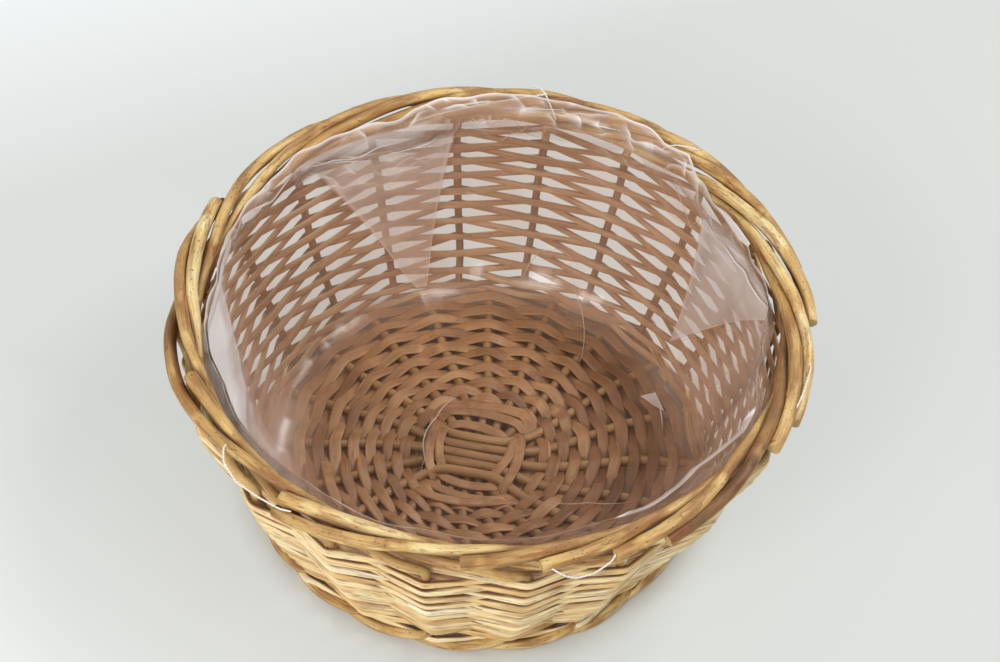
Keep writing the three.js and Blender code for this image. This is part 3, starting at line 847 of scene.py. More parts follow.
def strip_fullness(count, first, last):
    """1 along a strip, and less towards the point at each end."""
    point_in = np.clip((count - first + JOIN_LENGTH) / (0.8 * JOIN_LENGTH), 0, 1) ** 0.6
    point_out = np.clip((last + JOIN_LENGTH - count) / (0.95 * JOIN_LENGTH), 0, 1) ** 0.7
    return np.minimum(point_in, point_out)


def weaver_length(shape, family, first, last, rng, tone):
    """One split rod from a stake to a later one. Its butt is hidden and its tip runs on to a point."""
    stakes = np.arange(first - 1, last + 2)
    start, end = first - JOIN_LENGTH, last + JOIN_LENGTH
    centres, count = woven_path(weaver_corners(stakes, family), stakes, STRIP_STEP, 1, start, end)
    run = distances(centres)
    z = weaver_z(count, family)
    angle = (count + 0.5) * STAKE_ANGLE
    entering = 1 - smoothstep((count - first - 0.1) / 0.6)
    leaving = smoothstep((count - last) / JOIN_LENGTH)
    centres = centres + cylindrical(angle, 1.0, 0.0) * (TIP_OUT * leaving - BUTT_TUCK * entering)[:, None]
    full = strip_fullness(count, first, last)
    top = smoothstep((z - weave_top + 6) / 3)
    steady = smoothstep((z - first_row_z) / 8) * smoothstep((weave_top - z) / 6)
    rise = row_field(angle, z) * steady + 0.5 * top + wander(run, rng, 110, 0.4) * steady
    centres[:, 2] = z + rise - 0.5 * leaving
    height = row_height / 2 * (STRIP_HEIGHT_SHARE + wander(run, rng, 190, 0.22) + wander(run, rng, 33, 0.08))
    height = (height + TOP_ROW_EXTRA * top) * np.maximum(full, 0.12)
    thick = STRIP_THICKNESS / 2 * (1 + wander(run, rng, 70, 0.08)) * np.maximum(full, 0.25)
    thick = thick * (1 - 0.25 * entering)
    outside = (1 - np.cos(np.pi * (count + family))) / 2
    roll = np.radians(wander(run, rng, 130, 7.0) - OUTSIDE_TIP * outside)
    outs = cylindrical(angle, 1.0, -wall_slope(z))
    rings = sweep(centres, outs, thick, height, STRIP_SECTION, roll)
    marks = bud_scars(run, len(STRIP_SECTION), rng, 60.0, 2.1)
    # Painted shade: the strip's edge is marked dark brown where it passes outside a stake, for the shaded
    # gaps between strips
    edge_shade = np.clip(0.8 + wander(run, rng, 45, 0.5), 0, 1) * smoothstep(outside * 1.5)
    marks = np.maximum(marks, edge_shade[:, None] * UPPER_EDGE_SHADE[None, :])
    tones = np.clip(tone + wander(run, rng, 150, 0.14), 0, 1)
    shape.add_tube(rings, STRIP_SECTION, tones, marks, grain_start=first * 40.0)


def wall_weaver(number):
    shape = strand(number, STRIP_SEEDS, WALL_ROWS, WEAVERS_PER_FAMILY, CORNER_LEAD, JOIN_EVERY,
                   weaver_length, STRIP_LIGHTNESS)
    return shape.build(f"split_weaver_{number:02d}", strip_willow)


# Base: sticks, ties and skeins

# How far the base's middle is turned and set off, to the left and front
BASE_TURN = -9.0
BASE_SHIFT = (-4.6, -5.2)
# The radius where the turn starts to fade, how far it takes, and the radius where the shift has faded
TURN_FADE_RADIUS = 18
TURN_FADE = 60
SHIFT_END_RADIUS = 98
STICK_SHOWN_REACH = 105.5
STICK_STEP = 1.8


def crown_z(radius):
    return stick_end_z + BASE_CROWN * (1 - (radius / stick_end_radius) ** 2)


def star_height(radius, layer):
    lift = np.interp(radius, [fan_radius, skein_inner], [FAN_LIFT_SHARE * layer_lift, 0.0])
    return crown_z(radius) + layer * lift


def stick_size(radius):
    share = np.clip(radius / stick_end_radius, 0, 1)
    return between(STICK_MIDDLE_DIAMETER, STICK_END_DIAMETER, share) / 2


def settled(points):
    """The middle of the hand-woven base, turned and set off a little from the middle of the rim."""
    radius = radius_of(points)
    turn = np.radians(BASE_TURN) * (1 - smoothstep((radius - TURN_FADE_RADIUS) / TURN_FADE))
    share = 1 - smoothstep(radius / SHIFT_END_RADIUS)
    x = points[..., 0] * np.cos(turn) - points[..., 1] * np.sin(turn) + BASE_SHIFT[0] * share
    y = points[..., 0] * np.sin(turn) + points[..., 1] * np.cos(turn) + BASE_SHIFT[1] * share
    return np.stack([x, y, points[..., 2]], axis=-1)


def base_stick(layer_name, layer, place, number):
    rng = np.random.default_rng(STICK_SEEDS + number + 10 * layer)
    offset = place * stick_pitch
    edge_z = crown_z(math.hypot(cross_half, offset)) + layer * layer_lift
    halves = []
    for side in (-1, 1):
        turn = math.radians(place * STAKE_ANGLE if side > 0 else 180 - place * STAKE_ANGLE)
        rows = [[side * cross_half, offset, edge_z]]
        for radius in (fan_radius, skein_inner, (skein_inner + stick_end_radius) / 2, stick_end_radius):
            z = float(star_height(radius, layer))
            rows.append([radius * math.cos(turn), radius * math.sin(turn), z])
        halves.append(rows)
    middle = [0.0, offset, crown_z(abs(offset)) + layer * layer_lift]
    path = smoothed(resampled(np.array(halves[0][::-1] + [middle] + halves[1]), STICK_STEP), 6)
    path[:, 1] += wander(distances(path), rng, 90, 0.25)
    path = path[radius_of(path) < STICK_SHOWN_REACH]
    sizes = stick_size(radius_of(path)) * 1.02
    if layer < 0:
        path = np.stack([-path[:, 1], path[:, 0], path[:, 2]], axis=1)
    shape = Shape()
    rod(shape, settled(path), sizes, upward(path), rng, rng.uniform(0.3, 0.8), scars=70.0)
    return shape.build(f"stick_{layer_name}_{number}", stick_willow)


# The turns that each tie takes round the crossed sticks: radius, and how far it slants on the right
TIE_TURNS = {0: ((19.0, 3.0), (24.5, 0.5)), 1: ((20.5, -1.0), (29.5, 1.5), (34.0, -1.5))}
TIE_STRIP_WIDTH = 5.0
TIE_STEP = 1.4


def tie_turn(shape, radius, slant, over, rng):
    """A flat strip over the five sticks of one side and under the five of the next, all round."""
    outer = (STICKS_PER_LAYER - 1) / 2
    corner = math.cos(math.radians(outer * STAKE_ANGLE))
    rows = []
    for side in range(4):
        layer = 1 if side % 2 == 0 else -1
        lean = slant if side == 0 else rng.uniform(-2.0, 2.0)
        for place in np.arange(-outer, outer + 0.01, 0.5):
            bow = math.sqrt(corner) / math.sqrt(math.cos(math.radians(place * STAKE_ANGLE)))
            reach = radius * bow + lean * place / outer
            lift = layer * over * (tie_reach - 0.1)
            rows.append([side * 90 + place * STAKE_ANGLE, reach, float(star_height(reach, layer)) + lift])
    ring = cylindrical(*np.array(rows).T)
    ring = np.concatenate([ring[-3:], ring, ring[:4]])
    path = smoothed(resampled(ring, TIE_STEP), 4)[8:-8]
    run = distances(path)
    path[:, 2] += wander(run, rng, 40, 0.15)
    wide = TIE_STRIP_WIDTH / 2 * (1 + wander(run, rng, 60, 0.08))
    thick = np.full(len(path), SKEIN_THICKNESS / 2)
    rings = sweep(path, upward(path), thick, wide, FLAT_SECTION, np.radians(wander(run, rng, 50, 6)))
    shape.add_tube(settled(rings), FLAT_SECTION, np.clip(0.55 + wander(run, rng, 70, 0.2), 0, 1))


def base_tie(row, over):
    rng = np.random.default_rng(TIE_SEEDS + row)
    shape = Shape()
    for radius, slant in TIE_TURNS[row]:
        tie_turn(shape, radius, slant, over, rng)
    return shape.build(f"tie_strip_{row + 1}", skein_willow)


SKEIN_JOIN_EVERY = 16
SKEIN_LIGHTNESS = (0.25, 0.85)
# How much darker the skeins are painted on the right: painted shade of the right wall on the base
RIGHT_SIDE_SHADE = 0.45
# How many sticks earlier than the frame's the weaving of the base begins
SKEIN_LEAD = 8
SKEIN_EDGE = 106.0
SKEIN_OVER_WIDTH = 5.9
SKEIN_UNDER_WIDTH = 5.3
SKEIN_STEP = 1.9
# How far a skein runs on past its first and its last stick, as a share of their spacing
SKEIN_BUTT = 0.4
SKEIN_TIP = 0.45


def skein_length(shape, family, first, last, rng, tone):
    """One flat skein, straight from stick to stick, with a sharp hump over each."""
    pitch = (SKEIN_EDGE - skein_inner) / (BASE_ROWS + 1)
    sticks = np.arange(first - 1, last + 2)
    radius = skein_inner + pitch / 2 + 2 * pitch * (sticks - family * STAKES / 2) / STAKES
    radius = np.minimum(radius, SKEIN_EDGE - pitch / 2) + wander(sticks.astype(float), rng, 9, 0.45)
    passing = np.where((sticks + family) % 2 == 0, -1, 1)
    reach = stick_size(radius) + SKEIN_THICKNESS / 2 + WEAVING_PLAY
    corners = cylindrical(sticks * STAKE_ANGLE, radius, star_height(radius, 0) + passing * reach)
    path, count = woven_path(corners, sticks, SKEIN_STEP, 3, first - SKEIN_BUTT, last + SKEIN_TIP)
    run = distances(path)
    over = smoothstep((0.75 - np.cos(np.pi * (count + family))) / 1.5)
    ends = np.minimum(count - first + SKEIN_BUTT, last + SKEIN_TIP - count) / 0.3
    wide = between(SKEIN_UNDER_WIDTH, SKEIN_OVER_WIDTH, over) / 2
    wide = wide * (1 + wander(run, rng, 100, 0.12)) * np.clip(ends, 0.3, 1)
    thick = SKEIN_THICKNESS / 2 * (1 + wander(run, rng, 50, 0.1))
    roll = np.radians(wander(run, rng, 45, 10.0))
    rings = sweep(path, upward(path), thick, wide, FLAT_SECTION, roll)
    # Darker towards the right: painted shade
    tones = tone + wander(run, rng, 110, 0.2) - RIGHT_SIDE_SHADE * smoothstep((path[:, 0] - 15) / 45)
    shape.add_tube(settled(rings), FLAT_SECTION, np.clip(tones, -0.2, 1), grain_start=first * 22.0)


def base_skein(number):
    shape = strand(number, SKEIN_SEEDS, BASE_ROWS, BASE_SKEINS_PER_FAMILY, SKEIN_LEAD, SKEIN_JOIN_EVERY,
                   skein_length, SKEIN_LIGHTNESS)
    return shape.build(f"flat_skein_{number}", skein_willow)


# Film liner

FILM_INSET = 4.9
FILM_FLOOR_MIDDLE = 15.4
FILM_FLOOR_EDGE = 13.2
FILM_CORNER = 13.0
# The film's floor is a little raised within this radius
FILM_DOME_RADIUS = 60
ROPE_SKIN = 1.7
FILM_COLUMNS = 420
FILM_FLOOR_ROWS = 30
FILM_CORNER_ROWS = 7
FILM_WALL_ROWS = 50
# The floor's rows start this far from its middle
FILM_START_RADIUS = 1.5
# From this radius outwards the film is looser and milkier than on the floor
FILM_LOOSE_RADIUS = 70.0
# Millimetres of the grain map for each degree round the film
GRAIN_DEGREE = 2.3

# Folds that hang from the rim: angle, spread to each side, depth (degrees, degrees, mm)
FILM_FOLDS = [
    (113, 16, 8.0), (150, 8, 2.0), (176, 12, 5.0), (203, 9, 3.0), (232, 14, 4.0), (262, 9, 2.0),
    (292, 10, 2.5), (318, 14, 4.0), (345, 9, 3.0), (357, 11, 8.0), (19, 9, 3.0), (36, 15, 6.5),
    (58, 8, 2.0), (84, 9, 2.0),
]
FOLD_SLANT = 10
# The folds fade out towards this radius of the floor
FOLD_END_RADIUS = 55.0


def rope_inner(z):
    """Radius of the border's inner face, which the film lies on."""
    up = np.clip((np.asarray(z, float) - border_z) / (border_half + ROPE_SKIN), -1, 1)
    return border_radius - np.sqrt(np.maximum(1 - up ** 2, 0)) * (border_half + ROPE_SKIN)


def film_profile():
    """Path, radius, z, inward radius and inward z, from the middle of the floor to the edge."""
    corner_r = float(wall_radius(FILM_FLOOR_EDGE)) - FILM_INSET
    fall = (FILM_FLOOR_EDGE - FILM_FLOOR_MIDDLE) / corner_r
    radii = np.linspace(FILM_START_RADIUS, corner_r - FILM_CORNER, FILM_FLOOR_ROWS)
    floor = [(radius, FILM_FLOOR_MIDDLE + fall * radius) for radius in radii]
    wall_start = FILM_FLOOR_EDGE + FILM_CORNER
    side_r = float(wall_radius(wall_start)) - FILM_INSET
    bend = np.array([floor[-1], (corner_r, FILM_FLOOR_EDGE), (side_r, wall_start)])
    corner = bezier(*bend, FILM_CORNER_ROWS)
    wall = []
    for z in np.linspace(wall_start, border_z, FILM_WALL_ROWS):
        bare = float(wall_radius(min(z, weave_top))) - FILM_INSET
        on_rope = z > border_z - border_half - ROPE_SKIN
        wall.append((min(bare, float(rope_inner(z))) if on_rope else bare, z))
    rope = [rope_point(0, turn, ROPE_SKIN)[1:] for turn in range(170, 78, -10)]
    rows = smoothed(np.concatenate([floor, corner, wall, rope]), 3)
    along = normalised(np.gradient(rows, axis=0))
    return distances(rows), rows[:, 0], rows[:, 1], -along[:, 1], along[:, 0]


film_path, film_radius, film_z, inward_radius, inward_z = film_profile()
film_top = film_path[-1]


def path_on_floor(radius):
    return radius - film_radius[0]


def path_on_wall(z):
    climbing = (film_z > FILM_FLOOR_EDGE + 1.0) & (film_radius > FILM_DOME_RADIUS)
    return float(np.interp(z, film_z[climbing], film_path[climbing]))


def on_wall(*places):
    """(angle, path) points of the film from angles and heights."""
    return [(angle, path_on_wall(height)) for angle, height in places]


def on_floor(*places):
    """(angle, path) points of the film from angles and radii."""
    return [(angle, path_on_floor(radius)) for angle, radius in places]


def tent(angle, middle, spread):
    return np.maximum(0.0, 1 - np.abs(away_from(angle, middle)) / spread)


def around(angle, middle, spread, fade):
    """1 near the middle's angle and 0 further away than the spread."""
    return smoothstep((spread - np.abs(away_from(angle, middle))) / fade)


def fold_depth(angle, path):
    """Crisp-edged folds that are deepest in the upper wall and fade out on the floor."""
    fold_end = path_on_floor(FOLD_END_RADIUS)
    share = np.clip((path - fold_end) / (film_top - fold_end), 0, 1)
    swell = np.sin(np.pi * (0.08 + 0.74 * share)) * smoothstep(share * 4)
    depth = np.zeros(np.broadcast(angle, path).shape)
    for middle, spread, deep in FILM_FOLDS:
        # Lower down, each fold slants to a side of its own
        lean = middle + FOLD_SLANT * math.sin(middle) * (1 - share)
        depth = np.maximum(depth, deep * tent(angle, lean, spread))
    return depth * swell


def ridges(points, size, seed):
    """Crumples with crisp crests: a ridged noise over the points."""
    flat = (points / size).reshape(-1, 3)
    values = [0.5 - abs(noise.noise(Vector((x + seed, y - seed, z + 2 * seed)))) for x, y, z in flat]
    return np.array(values).reshape(points.shape[:-1])


def film_points(angle, path, lift=0.0):
    angle, path = np.broadcast_arrays(np.asarray(angle, float), np.asarray(path, float))
    columns = (film_radius, film_z, inward_radius, inward_z)
    radius, z, in_r, in_z = [np.interp(path, film_path, column) for column in columns]
    bare = cylindrical(angle, radius, z)
    off_floor = 0.25 + 0.75 * smoothstep((path - path_on_floor(FILM_LOOSE_RADIUS)) / 40)
    loose = (smoothstep((film_top - path) / 30) * 0.75 + 0.25) * off_floor
    crumple = 2.0 * ridges(bare, 34.0, 3.1) + 0.7 * ridges(bare, 13.0, 8.7)
    inward = fold_depth(angle, path) + crumple * loose + lift
    return cylindrical(angle, radius + in_r * inward, z + in_z * inward)


# The film's cut edge: angle, and how far it is turned round the border (180 is the inner side, 90 the top)
FILM_EDGE = [
    (0, 186), (12, 176), (30, 156), (43, 146), (48, 112), (54, 116), (60, 104), (66, 95), (74, 110),
    (81, 105), (96, 110), (104, 122), (112, 142), (121, 144), (129, 136), (137, 136), (144, 143),
    (152, 148), (168, 158), (185, 154), (200, 158), (225, 152), (250, 157), (272, 147), (290, 154),
    (312, 160), (338, 172), (350, 182), (360, 186),
]
# Where the edge sags below the border, and how far
EDGE_DIP_ANGLE = -15.0
EDGE_DIP = 17.0


def film_edge_path(angle):
    """Where the film is cut: a wavering edge, drawn down where it gapes at the right."""
    places, turns = np.array(FILM_EDGE, float).T
    round_it = np.asarray(angle) % 360
    waver = 3 * np.sin(23 * np.radians(round_it)), 2 * np.sin(41 * np.radians(round_it) + 1)
    turn = np.interp(round_it, places, turns) + waver[0] + waver[1]
    side = film_z > border_z - 12
    on_rope = np.degrees(np.arctan2(film_z[side] - border_z, film_radius[side] - border_radius)) % 360
    dip = EDGE_DIP * smoothstep(1.6 * tent(angle, EDGE_DIP_ANGLE, 5.5))
    return np.interp(-turn, -on_rope, film_path[side]) - dip


# How milky the film is, and what its wall, its rim, the rim's left, the left wall and its edge add
CLEAR_HAZE = 0.035
WALL_HAZE = 0.27
RIM_HAZE = 0.04
RIM_LEFT_HAZE = 0.06
LEFT_HAZE = 0.15
EDGE_HAZE = 0.3


def film_shell(shape):
    """The whole liner. It is milkier on the wall, most at the left, and painted whitest along its cut edge,
    as a highlight.
    """
    angle = np.linspace(0, 360, FILM_COLUMNS + 1)
    edge = film_edge_path(angle)
    path = (film_path / film_top)[:, None] * edge[None, :]
    grid = film_points(np.broadcast_to(angle, path.shape), path)
    steep = smoothstep((path - path_on_floor(FILM_LOOSE_RADIUS)) / 30)
    near_rim = smoothstep((path - path_on_wall(96.0)) / 10)
    rim_haze = RIM_HAZE + RIM_LEFT_HAZE * around(angle, 150, 95, 50)
    haze = CLEAR_HAZE + WALL_HAZE * steep + rim_haze * near_rim
    haze = haze + LEFT_HAZE * around(angle, 200, 45, 20) * steep
    # Where painted glint highlights go: high on the wall, most at the back
    crumple = (0.25 + 0.75 * around(angle, 97, 75, 15)) * smoothstep((path - path_on_wall(88.0)) / 14)
    edge_line = smoothstep((path - edge[None, :] + 1.6) / 1.2)
    grain = np.stack([np.broadcast_to(angle * GRAIN_DEGREE, path.shape), path], axis=-1)
    shape.add_grid(grid, grain, tone=haze + EDGE_HAZE * edge_line, mark=edge_line * 0.6, outward=crumple)


FLAP_COLUMNS = 34
FLAP_ROWS = 40


def film_flap(shape, corners, haze, lift, fade=0.4, line=0.08, white=0.0, soft=0.03):
    """A folded-over part of the film. It is lifted by one amount at its top and another at its low end."""
    a, b, c, d = [np.array(corner, float) for corner in corners]
    s, t = np.meshgrid(np.linspace(0, 1, FLAP_COLUMNS), np.linspace(0, 1, FLAP_ROWS))
    across, down = s[..., None], t[..., None]
    place = (1 - down) * ((1 - across) * a + across * b) + down * ((1 - across) * d + across * c)
    grid = film_points(place[..., 0], place[..., 1], between(*lift, t))
    border = np.minimum(np.minimum(s, 1 - s), 1 - t)
    edge_haze = 0.35 if soft < 0.1 else 0.0
    milk = haze * (1 - fade * t) * smoothstep(border / soft + edge_haze) * smoothstep(t / 0.12 + 0.3)
    # The line along the flap's edge is a painted highlight, and the white share is painted light; glints are
    # painted over its top third
    edge_highlight = line * smoothstep(1 - np.abs(border - 0.03) / 0.02)
    grain = np.stack([place[..., 0] * GRAIN_DEGREE, place[..., 1]], axis=-1)
    shape.add_grid(grid, grain, tone=milk + edge_highlight, mark=edge_highlight + white, outward=0.8 * np.clip(1 - 3 * t, 0, 1))


# Each flap's corners, the top pair first and then the low pair, and its look
FILM_FLAPS = [
    # The big pleat at the back left: a triangle that runs to a point at the floor
    (on_wall((133, 97), (98, 110), (109.5, 17), (112.5, 17)), dict(haze=0.62, lift=(0.4, 1.6), fade=0.3)),
    # The milky fold at the right, and the slacker film under it
    (on_wall((42, 110), (2.0, 105), (17, 71), (31, 29)),
     dict(haze=0.95, lift=(0.5, 2.0), fade=0.3, line=0.05)),
    (on_wall((22, 96), (-14, 92), (-44, 16), (32, 15)),
     dict(haze=0.54, lift=(0.3, 0.6), fade=0.3, line=0.0, soft=0.16)),
    # The slack film that hangs in front of the left wall, whitened with painted light
    (on_wall((160, 105), (234, 109)) + on_floor((226, 94), (188, 95)),
     dict(haze=0.72, lift=(0.4, 1.6), fade=0.25, line=0.03, white=0.22, soft=0.1)),
    (on_wall((163, 110), (224, 110), (218, 22), (181, 46)),
     dict(haze=0.9, lift=(0.9, 2.2), line=0.03, white=0.85, soft=0.2)),
    # The milky top of the pleat, with painted highlights
    (on_wall((141, 109), (103, 111), (109, 95), (138, 93)),
     dict(haze=0.6, lift=(0.5, 1.4), fade=0.3, line=0.06, white=0.3, soft=0.14)),
    # Film bunched at the back, by the knots
    (on_wall((60, 109), (96, 110), (89, 98), (68, 100)), dict(haze=0.3, lift=(0.5, 2.4))),
    (on_wall((36, 108), (58, 109), (49, 80), (41, 84)), dict(haze=0.34, lift=(0.5, 2.4))),
    # The edge that stands up inside the front and right of the rim, with a painted highlight along it
    (on_wall((-64, 110), (-22, 110), (-24, 106), (-60, 107)),
     dict(haze=0.45, lift=(0.4, 3.6), fade=0.1, line=0.5, white=0.35)),
    (on_wall((-120, 110), (-62, 110), (-66, 106), (-112, 107)),
     dict(haze=0.4, lift=(0.4, 2.4), fade=0.1, line=0.4, white=0.3)),
    # A small crushed spot on the floor, whitened as a painted highlight of its facet
    (on_floor((23.5, 84), (23, 92), (15.5, 92.5), (18.5, 88)),
     dict(haze=0.5, lift=(0.5, 1.4), fade=0.2, line=0.3, white=0.3)),
]

# Creases by where they lie: how far they stand off the film's shell, and each one's points, width, strength.
# The strength is how white a crease's painted highlight is.
FILM_CREASES = [
    # The bright pinch across the right fold
    (2.2, [(on_wall((37, 100), (25.6, 91), (13.5, 93.4), (0, 108)), 1.5, 0.9)]),
    # All round the wall and the floor
    (0.15, [
        (on_wall((69.7, 33), (66, 22)) + on_floor((52, 78), (46.6, 64.7)), 1.0, 0.5),
        (on_wall((82, 18), (80, 28), (77.9, 35), (72, 38), (67, 33)), 1.2, 0.45),
        (on_floor((108.5, 32), (150, 27), (204, 30), (224.6, 39.5)), 1.3, 0.5),
        (on_floor((-56, 39), (-33, 62), (-17.9, 91)), 1.0, 0.35),
        (on_wall((29.8, 30), (24, 52), (19, 73)), 0.9, 0.35),
        (on_wall((3.8, 96), (10, 60), (14, 25)), 0.9, 0.3),
        (on_wall((176, 97), (184, 72), (190, 45)), 1.2, 0.5),
        (on_wall((203, 92), (207, 60), (211, 34)), 1.1, 0.45),
        (on_wall((48, 106), (42, 97), (34, 93)), 1.3, 0.5),
        (on_wall((52, 104), (46, 90), (40, 80)), 1.0, 0.45),
        (on_wall((87, 108), (84, 98), (80, 92)), 1.2, 0.45),
        (on_floor((24.5, 92), (19.2, 91.8), (9, 89.5)), 1.2, 0.6),
        (on_wall((140, 100), (136, 96), (128, 95)), 1.3, 0.45),
        (on_wall((155, 110), (147, 104), (139, 109)), 1.5, 0.7),
        (on_wall((97, 109), (95, 105), (92, 107), (88, 108)), 1.6, 0.6),
        (on_wall((84, 108), (86, 100), (90, 90)), 1.8, 0.55),
        (on_wall((47, 108), (46, 101), (42, 96), (38, 90)), 1.6, 0.7),
        (on_wall((43, 109), (40, 99), (33, 87)), 1.3, 0.55),
        (on_wall((176, 92), (184, 95), (189, 109)), 1.1, 0.45),
        (on_wall((185, 84), (189, 71), (195, 63)), 1.6, 0.75),
        (on_wall((200, 70), (206, 90), (214, 104)), 1.2, 0.5),
    ]),
    # On the milky top of the pleat
    (1.6, [
        (on_wall((118, 99), (109, 94), (102, 90)), 1.3, 0.7),
        (on_wall((136, 108), (131, 103), (125, 100), (119, 105), (113, 106)), 2.2, 1.0),
        (on_wall((134, 108), (128, 98), (125, 96), (119, 91)), 1.9, 0.95),
        (on_wall((117, 98), (112, 96), (106, 99), (104, 104)), 2.0, 0.95),
        (on_wall((128, 104), (122, 101), (116, 101)), 2.4, 0.9),
    ]),
]
CREASE_HEIGHT = 0.9
CREASE_STEP = 1.6
CREASE_SECTION = np.array([-1.0, -0.35, 0.0, 0.35, 1.0])
# Millimetres for each degree on the wall, about
WALL_DEGREE = 2.0


def film_crease(shape, points, width, strength, above):
    """A pinched line in the film through (angle, path) points, painted white along its crest as a highlight.
    """
    rows = resampled(np.array([[angle, path, 0.0] for angle, path in points]), CREASE_STEP)[:, :2]
    step = np.gradient(rows, axis=0)
    step[:, 0] *= WALL_DEGREE
    sideways = np.stack([-step[:, 1] / WALL_DEGREE, step[:, 0]], axis=1)
    sideways /= np.maximum(np.hypot(sideways[:, 0] * WALL_DEGREE, sideways[:, 1]), 1e-6)[:, None]
    taper = np.sin(np.pi * np.linspace(0.06, 0.94, len(rows))) ** 0.7
    reach = CREASE_SECTION[None, :, None] * width / 2 * taper[:, None, None]
    place = rows[:, None, :] + sideways[:, None, :] * reach
    crest = (1 - np.abs(CREASE_SECTION))[None, :] * taper[:, None]
    grid = film_points(place[..., 0], place[..., 1], CREASE_HEIGHT * crest + above)
    shape.add_grid(grid, place, tone=0.03 + strength * crest, mark=strength * crest)


def film_liner():
    shape = Shape()
    film_shell(shape)
    for corners, look in FILM_FLAPS:
        film_flap(shape, corners, **look)
    for above, creases in FILM_CREASES:
        for points, width, strength in creases:
            film_crease(shape, points, width, strength, above)
    return shape.build("clear_film_liner", clear_film)


# Thread

THREAD_STEP = 0.8
THREAD_SHARE = 0.66
KNOT_SWELL = 0.75
KNOT_LENGTH = 1.3

# The threads of each group: angle, turn round the border, and how far off the border's round they lie
STITCH_ROUTES = {
    1: [[(110, 172, 0.9), (104, 158, 1.2), (95, 138, 1.2), (86, 112, 1.2), (81.5, 92, 1.4)],
        [(81.5, 92, 1.4), (82.6, 74, 1.8), (84.2, 64, 2.2)],
        [(81.5, 92, 1.4), (80.4, 116, 1.2), (79.2, 140, 1.0), (78.4, 160, 0.8)]],
    2: [[(54.2, 140, -0.2), (53.4, 124, 0.9), (52, 108, 1.3), (50.4, 98, 1.4), (48.8, 84, 1.1),
         (48.2, 66, -0.2)]],
    3: [[(218.6, 84, -1.5), (219.4, 62, 0.6), (221.3, 38, 1.0), (225.3, 23, 1.1), (230.4, 31, 1.1),
         (235, 38, 0.9), (236.6, 44, -1.5)]],
    4: [[(281.8, 40, -1.2), (282.7, 30, 0.8), (284.5, 9, 1.1), (286.3, -2, 1.2), (289, 2, 1.2),
         (291, 18, 1.1), (292.3, 27, 0.8), (293.2, 36, -1.2)],
        [(350.5, 42, -1.0), (349.2, 46, 0.9), (345.6, 50, 1.3), (341.6, 50, 1.1), (339.4, 44, -1.0)]],
}


def stitch(number):
    """White threads over the border. The second of a group starts with a knot."""
    rng = np.random.default_rng(THREAD_SEEDS + number)
    shape = Shape()
    for i, route in enumerate(STITCH_ROUTES[number]):
        points = cylindrical(*np.array([rope_point(*place) for place in route], float).T)
        path = smoothed(resampled(points, THREAD_STEP), 4)
        run = distances(path)
        size = THREAD_DIAMETER / 2 * (THREAD_SHARE + wander(run, rng, 12, 0.06))
        if i == 1:
            size = size * (1 + KNOT_SWELL * np.exp(-(run / KNOT_LENGTH) ** 2))
        rings = sweep(path, normalised(path * [1, 1, 0.2]), size, size, THREAD_SECTION)
        shape.add_tube(rings, THREAD_SECTION, np.full(len(path), 0.5))
    return shape.build(f"thread_stitch_{number}", white_thread)


# Camera, floor and light. The camera's places are in millimetres, and the floor's and lamps' in metres

PHOTO_WIDTH = 1000
FOCAL_PIXELS = 2403.7
CAMERA_ELEVATION = math.degrees(0.8479)
CAMERA_ROLL = math.degrees(0.0521)
CAMERA_DISTANCE = 1243.2
CAMERA_AIM = (3.17, 85.07, 0.0)
SENSOR_WIDTH = 36.0


def camera():
    up = math.radians(CAMERA_ELEVATION)
    roll = math.radians(CAMERA_ROLL)
    back = Vector((0, -math.cos(up), math.sin(up)))
    across = Vector((1, 0, 0))
    upright = back.cross(across)
    x_axis = math.cos(roll) * across + math.sin(roll) * upright
    y_axis = -math.sin(roll) * across + math.cos(roll) * upright
    data = bpy.data.cameras.new("camera")
    data.sensor_width = SENSOR_WIDTH
    data.lens = FOCAL_PIXELS / PHOTO_WIDTH * SENSOR_WIDTH
    obj = place_object("camera", data)
    place = (Vector(CAMERA_AIM) + back * CAMERA_DISTANCE) * MM
    turn = Matrix((x_axis, y_axis, back)).transposed().to_4x4()
    obj.matrix_world = Matrix.Translation(place) @ turn
    bpy.context.scene.camera = obj


# The paper glows a little for the camera, as it does in the bright studio, but not under the basket, so that
# the paper there is darker: painted shade
PAPER_GLOW = 0.64
UNDER_RADIUS = 0.113
UNDER_MIDDLE = (LEAN_FOOT[0] * MM, LEAN_FOOT[1] * MM, 0.0)
PAINTED_LIGHT_SPOT = (-0.32, -0.26, 0.0)
FLOOR_HALF = 4.0


def paper_material():
    n = Nodes("floor_paper")
    place = n.add("TexCoord").outputs["Object"]
    parts = n.add("SeparateXYZ", {0: place})
    colour = n.ramp(n.noise(place, 3.0, 4), stops((0.3, 0.7), (213, 216, 213), (217, 220, 217)))
    # The top left corner and a spot at the front left are painted lighter: painted pools of light on the
    # paper
    corner = n.math("SUBTRACT", parts.outputs["Y"], n.times(parts.outputs["X"], 0.5))
    colour = n.mix(n.spread(corner, 0.28, 0.5), colour, linear(245, 248, 249))
    away = n.add("VectorMath", {0: place, 1: PAINTED_LIGHT_SPOT}, operation="DISTANCE").outputs["Value"]
    colour = n.mix(n.spread(away, 0.1, 0.32, 1.0, 0.0), colour, linear(243, 245, 243))
    paper = n.principled(colour, 0.85, {"Specular IOR Level": 0.1})
    glow = n.add("Emission", {"Color": colour}).outputs[0]
    under = n.add("VectorMath", {0: place, 1: UNDER_MIDDLE}, operation="DISTANCE").outputs["Value"]
    outside = n.spread(under, UNDER_RADIUS, UNDER_RADIUS + 0.012)
    rays = n.add("LightPath").outputs
    seen = n.plus(rays["Is Camera Ray"], rays["Is Glossy Ray"])
    seen = n.plus(seen, rays["Is Transmission Ray"], clamp=True)
    return n.finish(n.mix_shader(n.times(n.times(seen, outside), PAPER_GLOW), paper, glow))


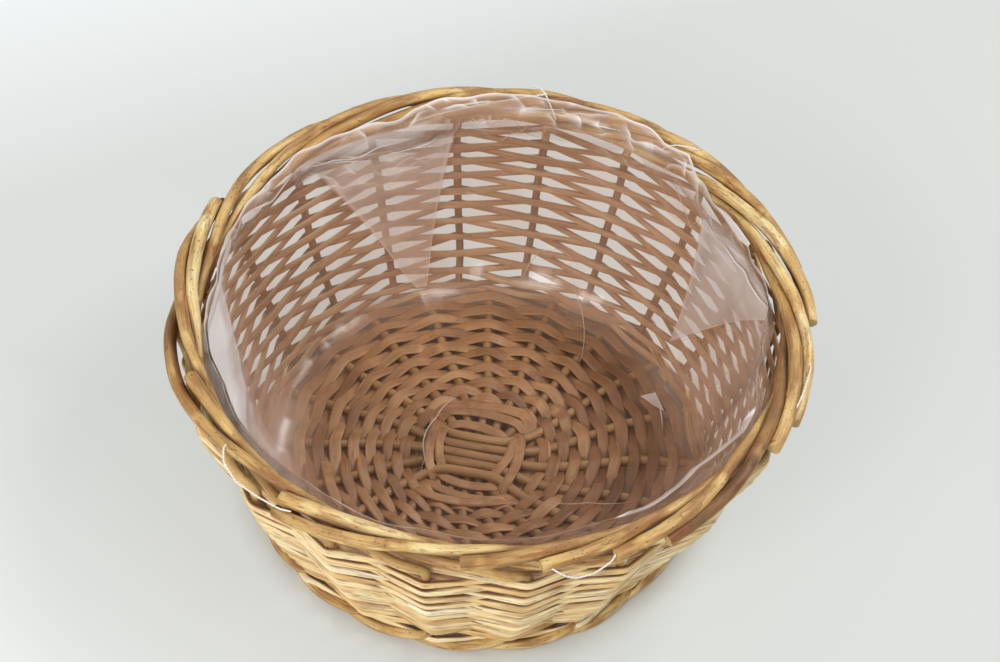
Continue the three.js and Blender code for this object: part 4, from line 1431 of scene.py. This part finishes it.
def floor():
    mesh = bpy.data.meshes.new("floor")
    corners = [(x * FLOOR_HALF, y * FLOOR_HALF, 0) for x, y in ((-1, -1), (1, -1), (1, 1), (-1, 1))]
    mesh.from_pydata(corners, [], [(0, 1, 2, 3)])
    mesh.materials.append(paper_material())
    place_object("floor", mesh)


LAMP_AIM = (0, 0, 0.05)


def lamp(name, place, size, power, colour=(1.0, 1.0, 1.0)):
    data = bpy.data.lights.new(name, "AREA")
    data.shape = "DISK"
    data.size = size
    data.energy = power
    data.color = colour
    obj = place_object(name, data)
    obj.location = place
    obj.rotation_euler = (Vector(LAMP_AIM) - Vector(place)).to_track_quat("-Z", "Y").to_euler()


def lights():
    world = bpy.data.worlds.new("studio")
    world.use_nodes = True
    background = world.node_tree.nodes["Background"]
    background.inputs["Color"].default_value = (0.95, 0.98, 1.0, 1.0)
    background.inputs["Strength"].default_value = 0.48
    bpy.context.scene.world = world
    lamp("front_left", (-0.7, -1.2, 1.0), 0.75, 17.5, (1.0, 0.98, 0.94))
    lamp("overhead", (0.8, 0.35, 1.25), 0.6, 11.0)
    lamp("back_right", (0.9, 1.0, 1.1), 0.3, 2.0)


bpy.context.scene.view_settings.view_transform = "Standard"
camera()
floor()
lights()

for i in range(STAKES):
    dress(stake(i), f"stake_{i + 1:02d}")
for i in range(1, 2 * WEAVERS_PER_FAMILY + 1):
    dress(wall_weaver(i), f"wall_weaver_{i:02d}")
for i in range(STICKS_PER_LAYER):
    place = i - (STICKS_PER_LAYER - 1) / 2
    dress(base_stick("upper", 1, place, i + 1), f"base_stick_upper_{i + 1}")
    dress(base_stick("lower", -1, place, i + 1), f"base_stick_lower_{i + 1}")
for row in range(TIE_ROWS):
    dress(base_tie(row, 1 if row % 2 == 0 else -1), f"base_tie_{row + 1}")
for i in range(1, 2 * BASE_SKEINS_PER_FAMILY + 1):
    dress(base_skein(i), f"base_skein_{i}")
liner = dress(film_liner(), "film_liner")
threads = [dress(stitch(i), f"liner_stitch_{i}") for i in STITCH_ROUTES]
